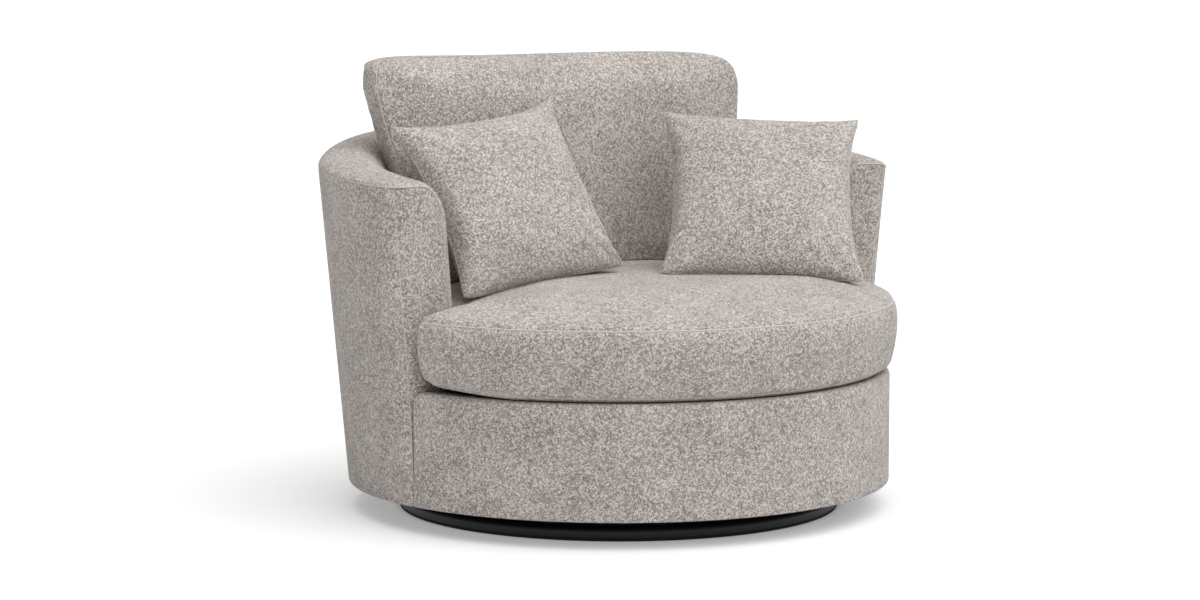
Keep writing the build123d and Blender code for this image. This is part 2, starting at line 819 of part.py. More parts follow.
with BuildPart() as front_cover:
    with BuildSketch(half_plane(panel_start)):
        with BuildLine():
            cover_inner = drum_radius - cover_thickness
            Polyline(
                (ring_front + soft_gap, roll_top),
                (cover_inner, roll_top),
                (cover_inner, skirt_height),
                (drum_radius, skirt_height),
                (drum_radius, roll_top + cover_thickness),
                (ring_front + soft_gap, roll_top + cover_thickness),
                close=True,
            )
        shape = make_face()
        outer_corner = shape.vertices().sort_by(Axis.Y)[-2:].sort_by(Axis.X)[-1:]
        inner_corner = shape.vertices().sort_by(Axis.Y)[-4:-2].sort_by(Axis.X)[-1:]
        fillet(outer_corner, front_roll_radius)
        fillet(inner_corner, front_roll_radius - cover_thickness)
    revolve(axis=Axis.Z, revolution_arc=-2 * panel_start)
    add(barrel_room, mode=Mode.SUBTRACT)

# Loose cushions: each a sewn cover round its filling
fill_inset = cover_thickness + soft_gap
seat_shape = seat_form(0.0)
seat_hollow = seat_form(cover_thickness)
with BuildPart() as seat_cushion_cover:
    add(seat_shape)
    add(seat_hollow, mode=Mode.SUBTRACT)
seat_filling = seat_form(fill_inset)
with BuildPart() as seat_cushion_foam:
    add(seat_filling)

back_shape = back_form(0.0)
back_hollow = back_form(cover_thickness)
with BuildPart() as back_cushion_cover:
    add(back_shape)
    add(back_hollow, mode=Mode.SUBTRACT)
back_filling = back_form(fill_inset)
with BuildPart() as back_cushion_fill:
    add(back_filling)

left_plane = pillow_plane(left_pillow_place, left_pillow_turn, left_pillow_lean, left_pillow_roll)
left_shape = pillow_form(left_plane, 0.0)
left_hollow = pillow_form(left_plane, cover_thickness)
with BuildPart() as left_pillow_cover:
    add(left_shape)
    add(left_hollow, mode=Mode.SUBTRACT)
left_filling = pillow_form(left_plane, fill_inset)
with BuildPart() as left_pillow_fill:
    add(left_filling)

right_plane = pillow_plane(right_pillow_place, right_pillow_turn, right_pillow_lean, right_pillow_roll)
right_shape = pillow_form(right_plane, 0.0)
right_hollow = pillow_form(right_plane, cover_thickness)
with BuildPart() as right_pillow_cover:
    add(right_shape)
    add(right_hollow, mode=Mode.SUBTRACT)
right_filling = pillow_form(right_plane, fill_inset)
with BuildPart() as right_pillow_fill:
    add(right_filling)

pieces = {
    "base_ring": base_ring,
    "floor_strip": floor_strip,
    "base_spokes": base_spokes,
    "hub_plate": hub_plate,
    "lower_race": lower_race,
    "race_screws": race_screws,
    "kingpin_bush": kingpin_bush,
    "ball_cage": ball_cage,
    "bearing_balls": bearing_balls,
    "upper_race": upper_race,
    "mount_bolts": mount_bolts,
    "tee_nuts": tee_nuts,
    "kingpin": kingpin,
    "kingpin_washer": kingpin_washer,
    "kingpin_nut": kingpin_nut,
    "base_board": base_board,
    "dust_cover": dust_cover,
    "front_rail": front_rail,
    "seat_ring": seat_ring,
    "seat_posts": seat_posts,
    "seat_springs": seat_springs,
    "spring_clips": spring_clips,
    "spring_ties": spring_ties,
    "seat_pad": seat_pad,
    "deck_cloth": deck_cloth,
    "top_rail": top_rail,
    "barrel_posts": barrel_posts,
    "outer_board": outer_board,
    "inner_board": inner_board,
    "outside_wadding": outside_wadding,
    "top_foam": top_foam,
    "inside_foam": inside_foam,
    "outside_cover": outside_cover,
    "inside_cover": inside_cover,
    "front_wadding": front_wadding,
    "front_cover": front_cover,
    "seat_cushion_cover": seat_cushion_cover,
    "seat_cushion_foam": seat_cushion_foam,
    "back_cushion_cover": back_cushion_cover,
    "back_cushion_fill": back_cushion_fill,
    "left_pillow_cover": left_pillow_cover,
    "left_pillow_fill": left_pillow_fill,
    "right_pillow_cover": right_pillow_cover,
    "right_pillow_fill": right_pillow_fill,
}
os.makedirs("parts", exist_ok=True)
for name, piece in pieces.items():
    piece.part.label = name
    export_step(piece.part, f"parts/{name}.step")
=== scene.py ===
"""Round swivel armchair: padded covers, seams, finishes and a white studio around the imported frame."""
import json
import logging
import math
from dataclasses import dataclass, field
from enum import Enum
from typing import Callable, Optional, Sequence, Union

import bpy
import numpy as np
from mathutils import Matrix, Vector
from mathutils.bvhtree import BVHTree
from mathutils.kdtree import KDTree


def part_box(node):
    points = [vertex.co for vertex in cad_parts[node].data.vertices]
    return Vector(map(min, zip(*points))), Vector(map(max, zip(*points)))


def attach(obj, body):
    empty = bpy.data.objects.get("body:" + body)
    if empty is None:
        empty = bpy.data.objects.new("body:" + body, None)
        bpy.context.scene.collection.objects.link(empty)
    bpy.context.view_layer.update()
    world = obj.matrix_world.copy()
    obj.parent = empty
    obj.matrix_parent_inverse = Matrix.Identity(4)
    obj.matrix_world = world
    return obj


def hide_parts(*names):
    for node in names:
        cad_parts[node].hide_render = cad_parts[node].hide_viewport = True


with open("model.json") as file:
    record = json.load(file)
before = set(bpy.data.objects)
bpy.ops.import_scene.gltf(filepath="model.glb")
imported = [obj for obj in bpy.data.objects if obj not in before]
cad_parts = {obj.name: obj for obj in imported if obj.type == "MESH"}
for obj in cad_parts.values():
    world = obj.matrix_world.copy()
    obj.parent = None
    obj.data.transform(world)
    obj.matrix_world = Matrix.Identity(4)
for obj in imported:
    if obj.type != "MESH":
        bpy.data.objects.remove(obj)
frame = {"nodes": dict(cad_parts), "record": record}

log = logging.getLogger("swivel_chair")

Array = np.ndarray
Piece = bpy.types.Object
Tree = bpy.types.NodeTree
Socket = bpy.types.NodeSocket
SocketValue = Union[float, Sequence[float], Socket]

MM = 0.001
FABRIC_SLOT = "greige_fabric"
SEAM_EDGE_AND_HIGHLIGHT = "seam_edge_and_highlight"
MIRROR = np.array([-1.0, 1.0, 1.0])
# Vertices this close are one, and a soft piece looks this far for a neighbour that it must not enter.
WELD_MM = 0.02
PRESS_REACH_MM = 60.0
# Room that a soft piece leaves to what it rests on.
REST_GAP_MM = 0.8
# The lower hem of a panel: how far its rows stand above the skirt and in from the panel's face.
HEM_RISE = np.array([0.0, 0.0, 0.6])
HEM_INSET = np.array([26.0, 3.0, 0.9])


class Body(Enum):
    """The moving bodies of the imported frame."""

    CHAIR = "chair"
    SEAT = "seat_cushion"
    BACK = "back_cushion"
    LEFT_PILLOW = "left_pillow"
    RIGHT_PILLOW = "right_pillow"


class Side(Enum):
    """The two arms as someone facing the chair sees them, as the sign of X."""

    LEFT = -1
    RIGHT = 1


def linear(code: str) -> tuple[float, float, float, float]:
    """Turn an sRGB hex colour into linear values.

    Args:
        code: The colour as "#rrggbb".

    Returns:
        Linear red, green, blue and an alpha of one.
    """
    shares = [int(code[i : i + 2], 16) / 255 for i in (1, 3, 5)]
    values = [s / 12.92 if s <= 0.04045 else ((s + 0.055) / 1.055) ** 2.4 for s in shares]
    return values[0], values[1], values[2], 1.0


def add_node(
    tree: Tree,
    kind: str,
    inputs: Optional[dict[Union[str, int], SocketValue]] = None,
    **settings: object,
) -> bpy.types.Node:
    """Add one shader node, set its fields and fill or link its sockets.

    Args:
        tree: The node tree that gets the node.
        kind: The node's type name.
        inputs: Values or output sockets for the named or numbered inputs.
        **settings: Fields of the node itself.

    Returns:
        The new node.
    """
    node = tree.nodes.new(kind)
    for name, value in settings.items():
        setattr(node, name, value)
    for key, value in (inputs or {}).items():
        if isinstance(value, Socket):
            tree.links.new(value, node.inputs[key])
        else:
            node.inputs[key].default_value = value
    return node


def ends(source: tuple[float, float], target: tuple[float, float]) -> dict[str, float]:
    """Return the inputs of a node that maps one range to another."""
    return dict(zip(("From Min", "From Max", "To Min", "To Max"), (*source, *target)))


def blotches(
    tree: Tree,
    where: Socket,
    size_mm: float,
    detail: float,
    source: tuple[float, float],
    target: tuple[float, float],
) -> Socket:
    """Draw a soft blotchy pattern between two values.

    Args:
        tree: The node tree.
        where: The coordinates that it is drawn in.
        size_mm: About the size of one blotch.
        detail: How many finer layers roughen the blotches.
        source: The part of the noise's range that is spread out.
        target: The values that come out.

    Returns:
        The pattern.
    """
    layers = {"Vector": where, "Scale": 1 / (size_mm * MM), "Detail": detail}
    noise = add_node(tree, "ShaderNodeTexNoise", layers).outputs["Fac"]
    levels = {"Value": noise, **ends(source, target)}
    return add_node(tree, "ShaderNodeMapRange", levels, interpolation_type="SMOOTHSTEP").outputs[0]


def start_material(name: str) -> tuple[bpy.types.Material, Tree, Socket]:
    """Start an empty node material.

    Args:
        name: The material's name.

    Returns:
        The material, its node tree and the object coordinates.
    """
    material = bpy.data.materials.new(name)
    material.use_nodes = True
    tree = material.node_tree
    tree.nodes.clear()
    where = add_node(tree, "ShaderNodeTexCoord").outputs["Object"]
    return material, tree, where


def close_material(tree: Tree, shader: bpy.types.Node) -> None:
    """Link a shader to the material's surface output."""
    add_node(tree, "ShaderNodeOutputMaterial", {"Surface": shader.outputs[0]})


@dataclass(frozen=True)
class CurlyFabric:
    """Greige curly-pile upholstery: curls of about 6 to 9 mm with thin dark gaps, under a fine fuzz."""

    light: str = "#e5ded8"
    dark: str = "#736a64"
    # Small and large curls, the fuzz on them, clumps of pile and the slow mottle of the cloth.
    curl_mm: float = 5.6
    loop_mm: float = 8.6
    fuzz_mm: float = 1.9
    clump_mm: float = 14.0
    mottle_mm: float = 80.0
    # Size and reach of the swirls that bend the curls, in small curls.
    swirl_size: float = 0.7
    swirl_reach: float = 0.65
    # Gaps over the whole range of the noise, and the share of the relief that is curls and not fuzz.
    curl_lines: float = 3.0
    curl_share: float = 0.48
    clump_sway: float = 0.04
    mottle_sway: float = 0.05
    pile_mm: float = 1.2
    turned: tuple[float, float, float] = (0.65, 0.42, 0.93)

    def material(self) -> bpy.types.Material:
        """Build the fabric from warped noise lines, so that it needs no UV map.

        Returns:
            The finished material.
        """
        material, tree, where = start_material(FABRIC_SLOT)
        # Turned, so that the rows of the noise don't line up with flat panels.
        where = add_node(tree, "ShaderNodeMapping", {"Vector": where, "Rotation": self.turned}).outputs[0]
        layers = {"Vector": where, "Scale": 1 / (self.curl_mm * self.swirl_size * MM), "Detail": 1.0}
        swirl = add_node(tree, "ShaderNodeTexNoise", layers).outputs["Color"]
        reach = (self.curl_mm * self.swirl_reach * MM,) * 3
        bends = {0: swirl, 1: reach, 2: where}
        bent = add_node(tree, "ShaderNodeVectorMath", bends, operation="MULTIPLY_ADD").outputs[0]
        fine, coarse = (self.curls(tree, bent, size) for size in (self.curl_mm, self.loop_mm))
        curls = add_node(tree, "ShaderNodeMath", {0: fine, 1: coarse}, operation="MINIMUM").outputs[0]
        fuzz = blotches(tree, where, self.fuzz_mm, 2.0, (0.33, 0.67), (0.0, 1 - self.curl_share))
        relief = add_node(tree, "ShaderNodeMath", {0: curls, 1: fuzz}, operation="ADD").outputs[0]
        share = relief
        sways = ((self.clump_mm, 2.0, self.clump_sway), (self.mottle_mm, 3.0, self.mottle_sway))
        for size, detail, sway in sways:
            shift = blotches(tree, where, size, detail, (0.3, 0.7), (-sway, sway))
            share = add_node(tree, "ShaderNodeMath", {0: share, 1: shift}, operation="ADD").outputs[0]
        colour = add_node(
            tree,
            "ShaderNodeMix",
            {"Factor": share, 6: linear(self.dark), 7: linear(self.light)},
            data_type="RGBA",
        ).outputs[2]
        pile = {"Strength": 0.5, "Distance": self.pile_mm * MM, "Height": relief}
        bump = add_node(tree, "ShaderNodeBump", pile)
        shader = add_node(
            tree,
            "ShaderNodeBsdfPrincipled",
            {
                "Base Color": colour,
                "Roughness": 0.95,
                "Specular IOR Level": 0.15,
                "Sheen Weight": 0.12,
                "Sheen Roughness": 0.6,
                "Normal": bump.outputs["Normal"],
            },
        )
        close_material(tree, shader)
        return material

    def curls(self, tree: Tree, where: Socket, size_mm: float) -> Socket:
        """Draw thin winding gaps between curls along the contours of a noise field.

        Args:
            tree: The node tree.
            where: The warped coordinates.
            size_mm: Size of one curl.

        Returns:
            The curls' share of the relief on a curl, and zero in the gaps.
        """
        layers = {"Vector": where, "Scale": 1 / (size_mm * MM), "Detail": 0.5}
        level = add_node(tree, "ShaderNodeTexNoise", layers).outputs["Fac"]
        turns = {0: level, 1: math.tau * self.curl_lines}
        phase = add_node(tree, "ShaderNodeMath", turns, operation="MULTIPLY").outputs[0]
        wave = add_node(tree, "ShaderNodeMath", {0: phase}, operation="SINE").outputs[0]
        levels = {"Value": wave, **ends((-1.0, 0.1), (0.0, self.curl_share))}
        return add_node(tree, "ShaderNodeMapRange", levels, interpolation_type="SMOOTHSTEP").outputs[0]


@dataclass(frozen=True)
class GrainedFinish:
    """A plain finish with a fine relief: metal, rubber, nylon, foam, wood or plain cloth."""

    name: str
    colour: str
    roughness: float
    grain_mm: float
    relief_mm: float
    shade: float = 0.12
    metallic: float = 0.0
    stretch: tuple[float, float, float] = (1.0, 1.0, 1.0)

    def material(self) -> bpy.types.Material:
        """Build the finish from one fine noise that shades and dents it.

        Returns:
            The finished material.
        """
        material, tree, where = start_material(self.name)
        drawn = add_node(tree, "ShaderNodeVectorMath", {0: where, 1: self.stretch}, operation="MULTIPLY")
        layers = {"Vector": drawn.outputs[0], "Scale": 1 / (self.grain_mm * MM), "Detail": 2.0}
        grain = add_node(tree, "ShaderNodeTexNoise", layers).outputs["Fac"]
        levels = {"Value": grain, **ends((0.25, 0.75), (1 - self.shade, 1 + self.shade))}
        shade = add_node(tree, "ShaderNodeMapRange", levels, interpolation_type="SMOOTHSTEP").outputs[0]
        tint = {0: linear(self.colour)[:3], 1: shade}
        colour = add_node(tree, "ShaderNodeVectorMath", tint, operation="MULTIPLY").outputs[0]
        dents = {"Strength": 0.3, "Distance": self.relief_mm * MM, "Height": grain}
        bump = add_node(tree, "ShaderNodeBump", dents)
        shader = add_node(
            tree,
            "ShaderNodeBsdfPrincipled",
            {
                "Base Color": colour,
                "Roughness": self.roughness,
                "Metallic": self.metallic,
                "Normal": bump.outputs["Normal"],
            },
        )
        close_material(tree, shader)
        return material


FINISHES: dict[str, Union[CurlyFabric, GrainedFinish]] = {
    FABRIC_SLOT: CurlyFabric(),
    # Plain edge of the folded cloth along a sewn seam, kept lighter than the cloth so that the ridge reads as
    # a light line: partly its plain weave, partly a painted highlight.
    SEAM_EDGE_AND_HIGHLIGHT: GrainedFinish("seam_edge_and_highlight", "#cdc6c0", 0.9, 1.2, 0.15, 0.10),
    # Woven black polypropylene under the seat.
    "deck_fabric": GrainedFinish("deck_fabric", "#2b2a2a", 0.95, 1.4, 0.3, 0.35),
    # Open-cell seat foam with pores of about 1 mm.
    "foam": GrainedFinish("foam", "#e2d9c3", 0.95, 1.2, 0.5, 0.15),
    # Satin powder coat with an orange-peel relief of about 1.5 mm.
    "black_steel": GrainedFinish("black_steel", "#121314", 0.42, 1.5, 0.05, 0.06),
    # Drawn steel: streaks about 12 times as long as wide.
    "bright_steel": GrainedFinish("bright_steel", "#c3c4c6", 0.32, 0.8, 0.03, 0.10, 1.0, (1.0, 1.0, 0.08)),
    # Moulded rubber with a dull grain of about 1 mm.
    "black_rubber": GrainedFinish("black_rubber", "#1c1c1c", 0.8, 0.9, 0.10, 0.10),
    # Moulded nylon, nearly smooth, with a satin shine.
    "nylon": GrainedFinish("nylon", "#dcdbd5", 0.45, 1.0, 0.04, 0.05),
    # Birch plywood: grain runs about 20 times as long as wide.
    "plywood": GrainedFinish("plywood", "#c3a87f", 0.7, 5.0, 0.15, 0.22, 0.0, (0.06, 1.0, 1.0)),
    # Pressed wood fibre with flecks of about 2 mm.
    "hardboard": GrainedFinish("hardboard", "#94785a", 0.8, 2.0, 0.10, 0.20),
}


def pick_only(piece: Piece) -> None:
    """Make one object the only selected one and the active one.

    Args:
        piece: The object.
    """
    bpy.ops.object.select_all(action="DESELECT")
    piece.select_set(True)
    bpy.context.view_layer.objects.active = piece


def read_points(piece: Piece) -> Array:
    """Read the vertices of a mesh.

    Args:
        piece: The piece.

    Returns:
        An array of metres.
    """
    flat = np.empty(len(piece.data.vertices) * 3)
    piece.data.vertices.foreach_get("co", flat)
    return flat.reshape(-1, 3)


def write_points(piece: Piece, points: Array) -> None:
    """Set the vertices of a mesh from an array of metres."""
    piece.data.vertices.foreach_set("co", points.ravel())
    piece.data.update()


def edit_all(piece: Piece, *steps: Callable[[], object]) -> None:
    """Run mesh tools on the whole of a piece.

    Args:
        piece: The piece.
        *steps: The tools, in order.
    """
    pick_only(piece)
    bpy.ops.object.mode_set(mode="EDIT")
    bpy.ops.mesh.select_all(action="SELECT")
    for step in steps:
        step()
    bpy.ops.object.mode_set(mode="OBJECT")


def face_outward() -> None:
    """Face the selected mesh outward."""
    bpy.ops.mesh.normals_make_consistent(inside=False)


def tidy_mesh(piece: Piece) -> None:
    """Merge doubled vertices, face the mesh outward and shade it smooth."""
    edit_all(piece, lambda: bpy.ops.mesh.remove_doubles(threshold=WELD_MM * MM), face_outward)
    bpy.ops.object.shade_smooth()


def close_up(piece: Piece) -> None:
    """Fill the small holes at the poles of a ringed mesh."""
    edit_all(piece, lambda: bpy.ops.mesh.fill_holes(sides=0), face_outward)


def draped_grid(name: str, points: Array) -> Piece:
    """Drape a grid over rows and columns of points.

    Args:
        name: The piece's name.
        points: Array of rows, columns and XYZ in mm.

    Returns:
        The piece, with doubled vertices merged.
    """
    rows, columns = points.shape[0] - 1, points.shape[1] - 1
    bpy.ops.object.select_all(action="DESELECT")
    bpy.ops.mesh.primitive_grid_add(x_subdivisions=columns, y_subdivisions=rows, size=2.0)
    piece = bpy.context.object
    piece.name = name
    piece.data.name = name
    flat = read_points(piece)
    column = np.rint((flat[:, 0] + 1) / 2 * columns).astype(int)
    row = np.rint((flat[:, 1] + 1) / 2 * rows).astype(int)
    write_points(piece, points[row, column] * MM)
    tidy_mesh(piece)
    return piece


def apply_modifier(piece: Piece, kind: str, **settings: object) -> None:
    """Add a modifier to a piece, set it and apply it.

    Args:
        piece: The piece.
        kind: The modifier's type.
        **settings: Fields of the modifier.
    """
    pick_only(piece)
    modifier = piece.modifiers.new(kind.title(), kind)
    for name, value in settings.items():
        setattr(modifier, name, value)
    bpy.ops.object.modifier_apply(modifier=modifier.name)
    bpy.ops.object.shade_smooth()


def thicken(piece: Piece, depth_mm: float) -> None:
    """Give an open panel a thickness behind its face."""
    apply_modifier(piece, "SOLIDIFY", thickness=depth_mm * MM, offset=-1.0)


def face_away(piece: Piece, outward: Callable[[Array], Array]) -> None:
    """Flip an open panel if its faces look the wrong way.

    Args:
        piece: The open panel.
        outward: Gives a rough outward direction for points in mm.
    """
    centres = np.array([f.center for f in piece.data.polygons]) / MM
    normals = np.array([f.normal for f in piece.data.polygons])
    if np.sum(outward(centres) * normals) < 0:
        edit_all(piece, bpy.ops.mesh.flip_normals)


def seam_cord(name: str, points: Array, radius_mm: float, closed: bool = False) -> Piece:
    """Lay a thin sewn ridge along a path.

    Args:
        name: The piece's name.
        points: The path in mm.
        radius_mm: Radius of the ridge.
        closed: Whether the path joins its own start.

    Returns:
        The ridge as a mesh.
    """
    curve = bpy.data.curves.new(name, "CURVE")
    curve.dimensions = "3D"
    curve.bevel_depth = radius_mm * MM
    curve.bevel_resolution = 2
    curve.use_fill_caps = not closed
    spline = curve.splines.new("POLY")
    spline.points.add(len(points) - 1)
    spline.points.foreach_set("co", np.column_stack([points * MM, np.ones(len(points))]).ravel())
    spline.use_cyclic_u = closed
    piece = bpy.data.objects.new(name, curve)
    bpy.context.scene.collection.objects.link(piece)
    pick_only(piece)
    bpy.ops.object.convert(target="MESH")
    piece = bpy.context.object
    tidy_mesh(piece)
    return piece


def even_path(points: Array, step_mm: float) -> Array:
    """Resample a path at even steps along its length.

    Args:
        points: The path.
        step_mm: Distance between its new points.

    Returns:
        The even path.
    """
    lengths = np.concatenate([[0.0], np.cumsum(np.linalg.norm(np.diff(points, axis=0), axis=1))])
    count = max(2, int(round(lengths[-1] / step_mm)) + 1)
    stations = np.linspace(0.0, lengths[-1], count)
    return np.column_stack([np.interp(stations, lengths, points[:, i]) for i in range(points.shape[1])])


def direction(angle: Array) -> Array:
    """Return plan directions for angles in degrees, from 0 at the chair's front to 90 at its right."""
    turn = np.radians(angle)
    return np.stack([np.sin(turn), -np.cos(turn)], axis=-1)


def smooth_step(value: Array, low: float, high: float) -> Array:
    """Return 0 below low, 1 above high and a smooth ramp between."""
    share = np.clip((np.asarray(value, float) - low) / (high - low), 0.0, 1.0)
    return share * share * (3 - 2 * share)


def arc(centre: Array, radius: float, first: float, last: float, count: int) -> Array:
    """Return points on a plan arc, with angles measured from the chair's front."""
    return centre + direction(np.linspace(first, last, count)) * radius


class Workshop:
    """Dresses finished pieces: material, body, slot and the frame nodes that they stand for."""

    def __init__(self) -> None:
        """Build each finish once."""
        self.materials = {slot: finish.material() for slot, finish in FINISHES.items()}

    def dress(
        self,
        piece: Piece,
        body: Body,
        slot: str = FABRIC_SLOT,
        stands_for: Sequence[str] = (),
    ) -> Piece:
        """Give a new piece its finish and its place in the frame.

        Args:
            piece: The modelled piece.
            body: The body that it moves with.
            slot: The material slot.
            stands_for: Frame nodes that the piece replaces.

        Returns:
            The same piece.
        """
        piece.data.materials.clear()
        piece.data.materials.append(self.materials[slot])
        slot = FABRIC_SLOT if slot == SEAM_EDGE_AND_HIGHLIGHT else slot
        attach(piece, body.value)
        if stands_for:
            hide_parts(*stands_for)
        log.info("%s: %d faces", piece.name, len(piece.data.polygons))
        return piece

    def sew(self, name: str, path: Array, radius_mm: float, body: Body, closed: bool = False) -> None:
        """Lay a sewn ridge along a path in mm and give it the seam's lighter finish, which holds a painted
        highlight.
        """
        self.dress(seam_cord(name, path, radius_mm, closed), body, SEAM_EDGE_AND_HIGHLIGHT)

    def dress_frame(self) -> None:
        """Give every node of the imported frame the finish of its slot."""
        for part in frame["record"]["subparts"]:
            node = frame["nodes"][part["node"]]
            node.data.materials.clear()
            node.data.materials.append(self.materials[part["material_slot"]])


@dataclass
class Inflation:
    """A short cloth run that fills a sewn cover with stuffing."""

    frames: int
    reach_mm: float
    voxel_mm: float
    smoothing: int
    pressure: float = 3.0
    stiffness: float = 20.0
    shear_share: float = 0.4
    bending: float = 2.0

    def run(self, piece: Piece, held: Optional[Callable[[Array], Array]] = None) -> None:
        """Inflate a closed cover, smooth it and subdivide it.

        Args:
            piece: The closed mesh.
            held: Gives a pin weight from 0 to 1 for points in mm, such as those at a seam.
        """
        pick_only(piece)
        piece.data.remesh_voxel_size = self.voxel_mm * MM
        bpy.ops.object.voxel_remesh()
        before = read_points(piece)
        cloth = piece.modifiers.new("Filling", "CLOTH")
        settings = cloth.settings
        settings.quality = 5
        settings.mass = 0.3
        settings.tension_stiffness = self.stiffness
        settings.compression_stiffness = self.stiffness
        settings.shear_stiffness = self.stiffness * self.shear_share
        settings.bending_stiffness = self.bending
        settings.use_pressure = True
        settings.uniform_pressure_force = self.pressure
        settings.effector_weights.gravity = 0.0
        cloth.collision_settings.use_collision = False
        cloth.point_cache.frame_start = 1
        cloth.point_cache.frame_end = self.frames
        if held is not None:
            pins = piece.vertex_groups.new(name="pins")
            weights = held(before / MM)
            for index in np.nonzero(weights > 0.01)[0]:
                pins.add([int(index)], float(weights[index]), "REPLACE")
            settings.vertex_group_mass = pins.name
        for moment in range(1, self.frames + 1):
            bpy.context.scene.frame_set(moment)
        bpy.ops.object.modifier_apply(modifier=cloth.name)
        bpy.context.scene.frame_set(1)
        moved = read_points(piece) - before
        length = np.linalg.norm(moved, axis=1, keepdims=True)
        capped = self.reach_mm * MM * np.tanh(length / (self.reach_mm * MM))
        write_points(piece, before + moved * capped / np.maximum(length, 1e-9))
        piece.vertex_groups.clear()
        apply_modifier(piece, "SMOOTH", iterations=self.smoothing)
        apply_modifier(piece, "SUBSURF", levels=1, render_levels=1)


def keep_clear(piece: Piece, neighbours: Sequence[Piece], gap_mm: float) -> None:
    """Press a soft piece back where it would enter its neighbours.

    Args:
        piece: The piece that gives way.
        neighbours: Closed or outward-facing pieces that stay as they are.
        gap_mm: Room left between the two.
    """
    points = read_points(piece)
    for other in neighbours:
        tree = BVHTree.FromObject(other, bpy.context.evaluated_depsgraph_get())
        for index, point in enumerate(points):
            found, normal, _, _ = tree.find_nearest(Vector(point), PRESS_REACH_MM * MM)
            if found is None:
                continue
            height = (Vector(point) - found).dot(normal)
            if height < gap_mm * MM:
                points[index] = found + normal * (gap_mm * MM)
    write_points(piece, points)


def settle(path: Array, piece: Piece, sink_mm: float) -> Array:
    """Lay a seam path on the surface of a finished piece.

    Args:
        path: The path in mm.
        piece: The piece that it lies on.
        sink_mm: How deep the path sits in the surface.

    Returns:
        The path on the surface.
    """
    tree = BVHTree.FromObject(piece, bpy.context.evaluated_depsgraph_get())
    laid = []
    for point in path:
        found, normal, _, _ = tree.find_nearest(Vector(point * MM))
        laid.append(np.array(found) / MM - np.array(normal) * sink_mm)
    return np.array(laid)


def crease(piece: Piece, path: Array, depth_mm: float, width_mm: float) -> None:
    """Press a soft groove into a piece along a seam.

    Args:
        piece: The piece to change.
        path: The seam's path in mm.
        depth_mm: Depth of the groove.
        width_mm: Distance at which the groove has mostly faded.
    """
    tree = KDTree(len(path))
    for index, point in enumerate(path):
        tree.insert(Vector(point * MM), index)
    tree.balance()
    points = read_points(piece)
    normals = np.empty(len(points) * 3)
    piece.data.vertices.foreach_get("normal", normals)
    apart = np.array([tree.find(Vector(point))[2] for point in points]) / MM
    depth = depth_mm * np.exp(-((apart / width_mm) ** 2))
    write_points(piece, points - normals.reshape(-1, 3) * (depth * MM)[:, None])


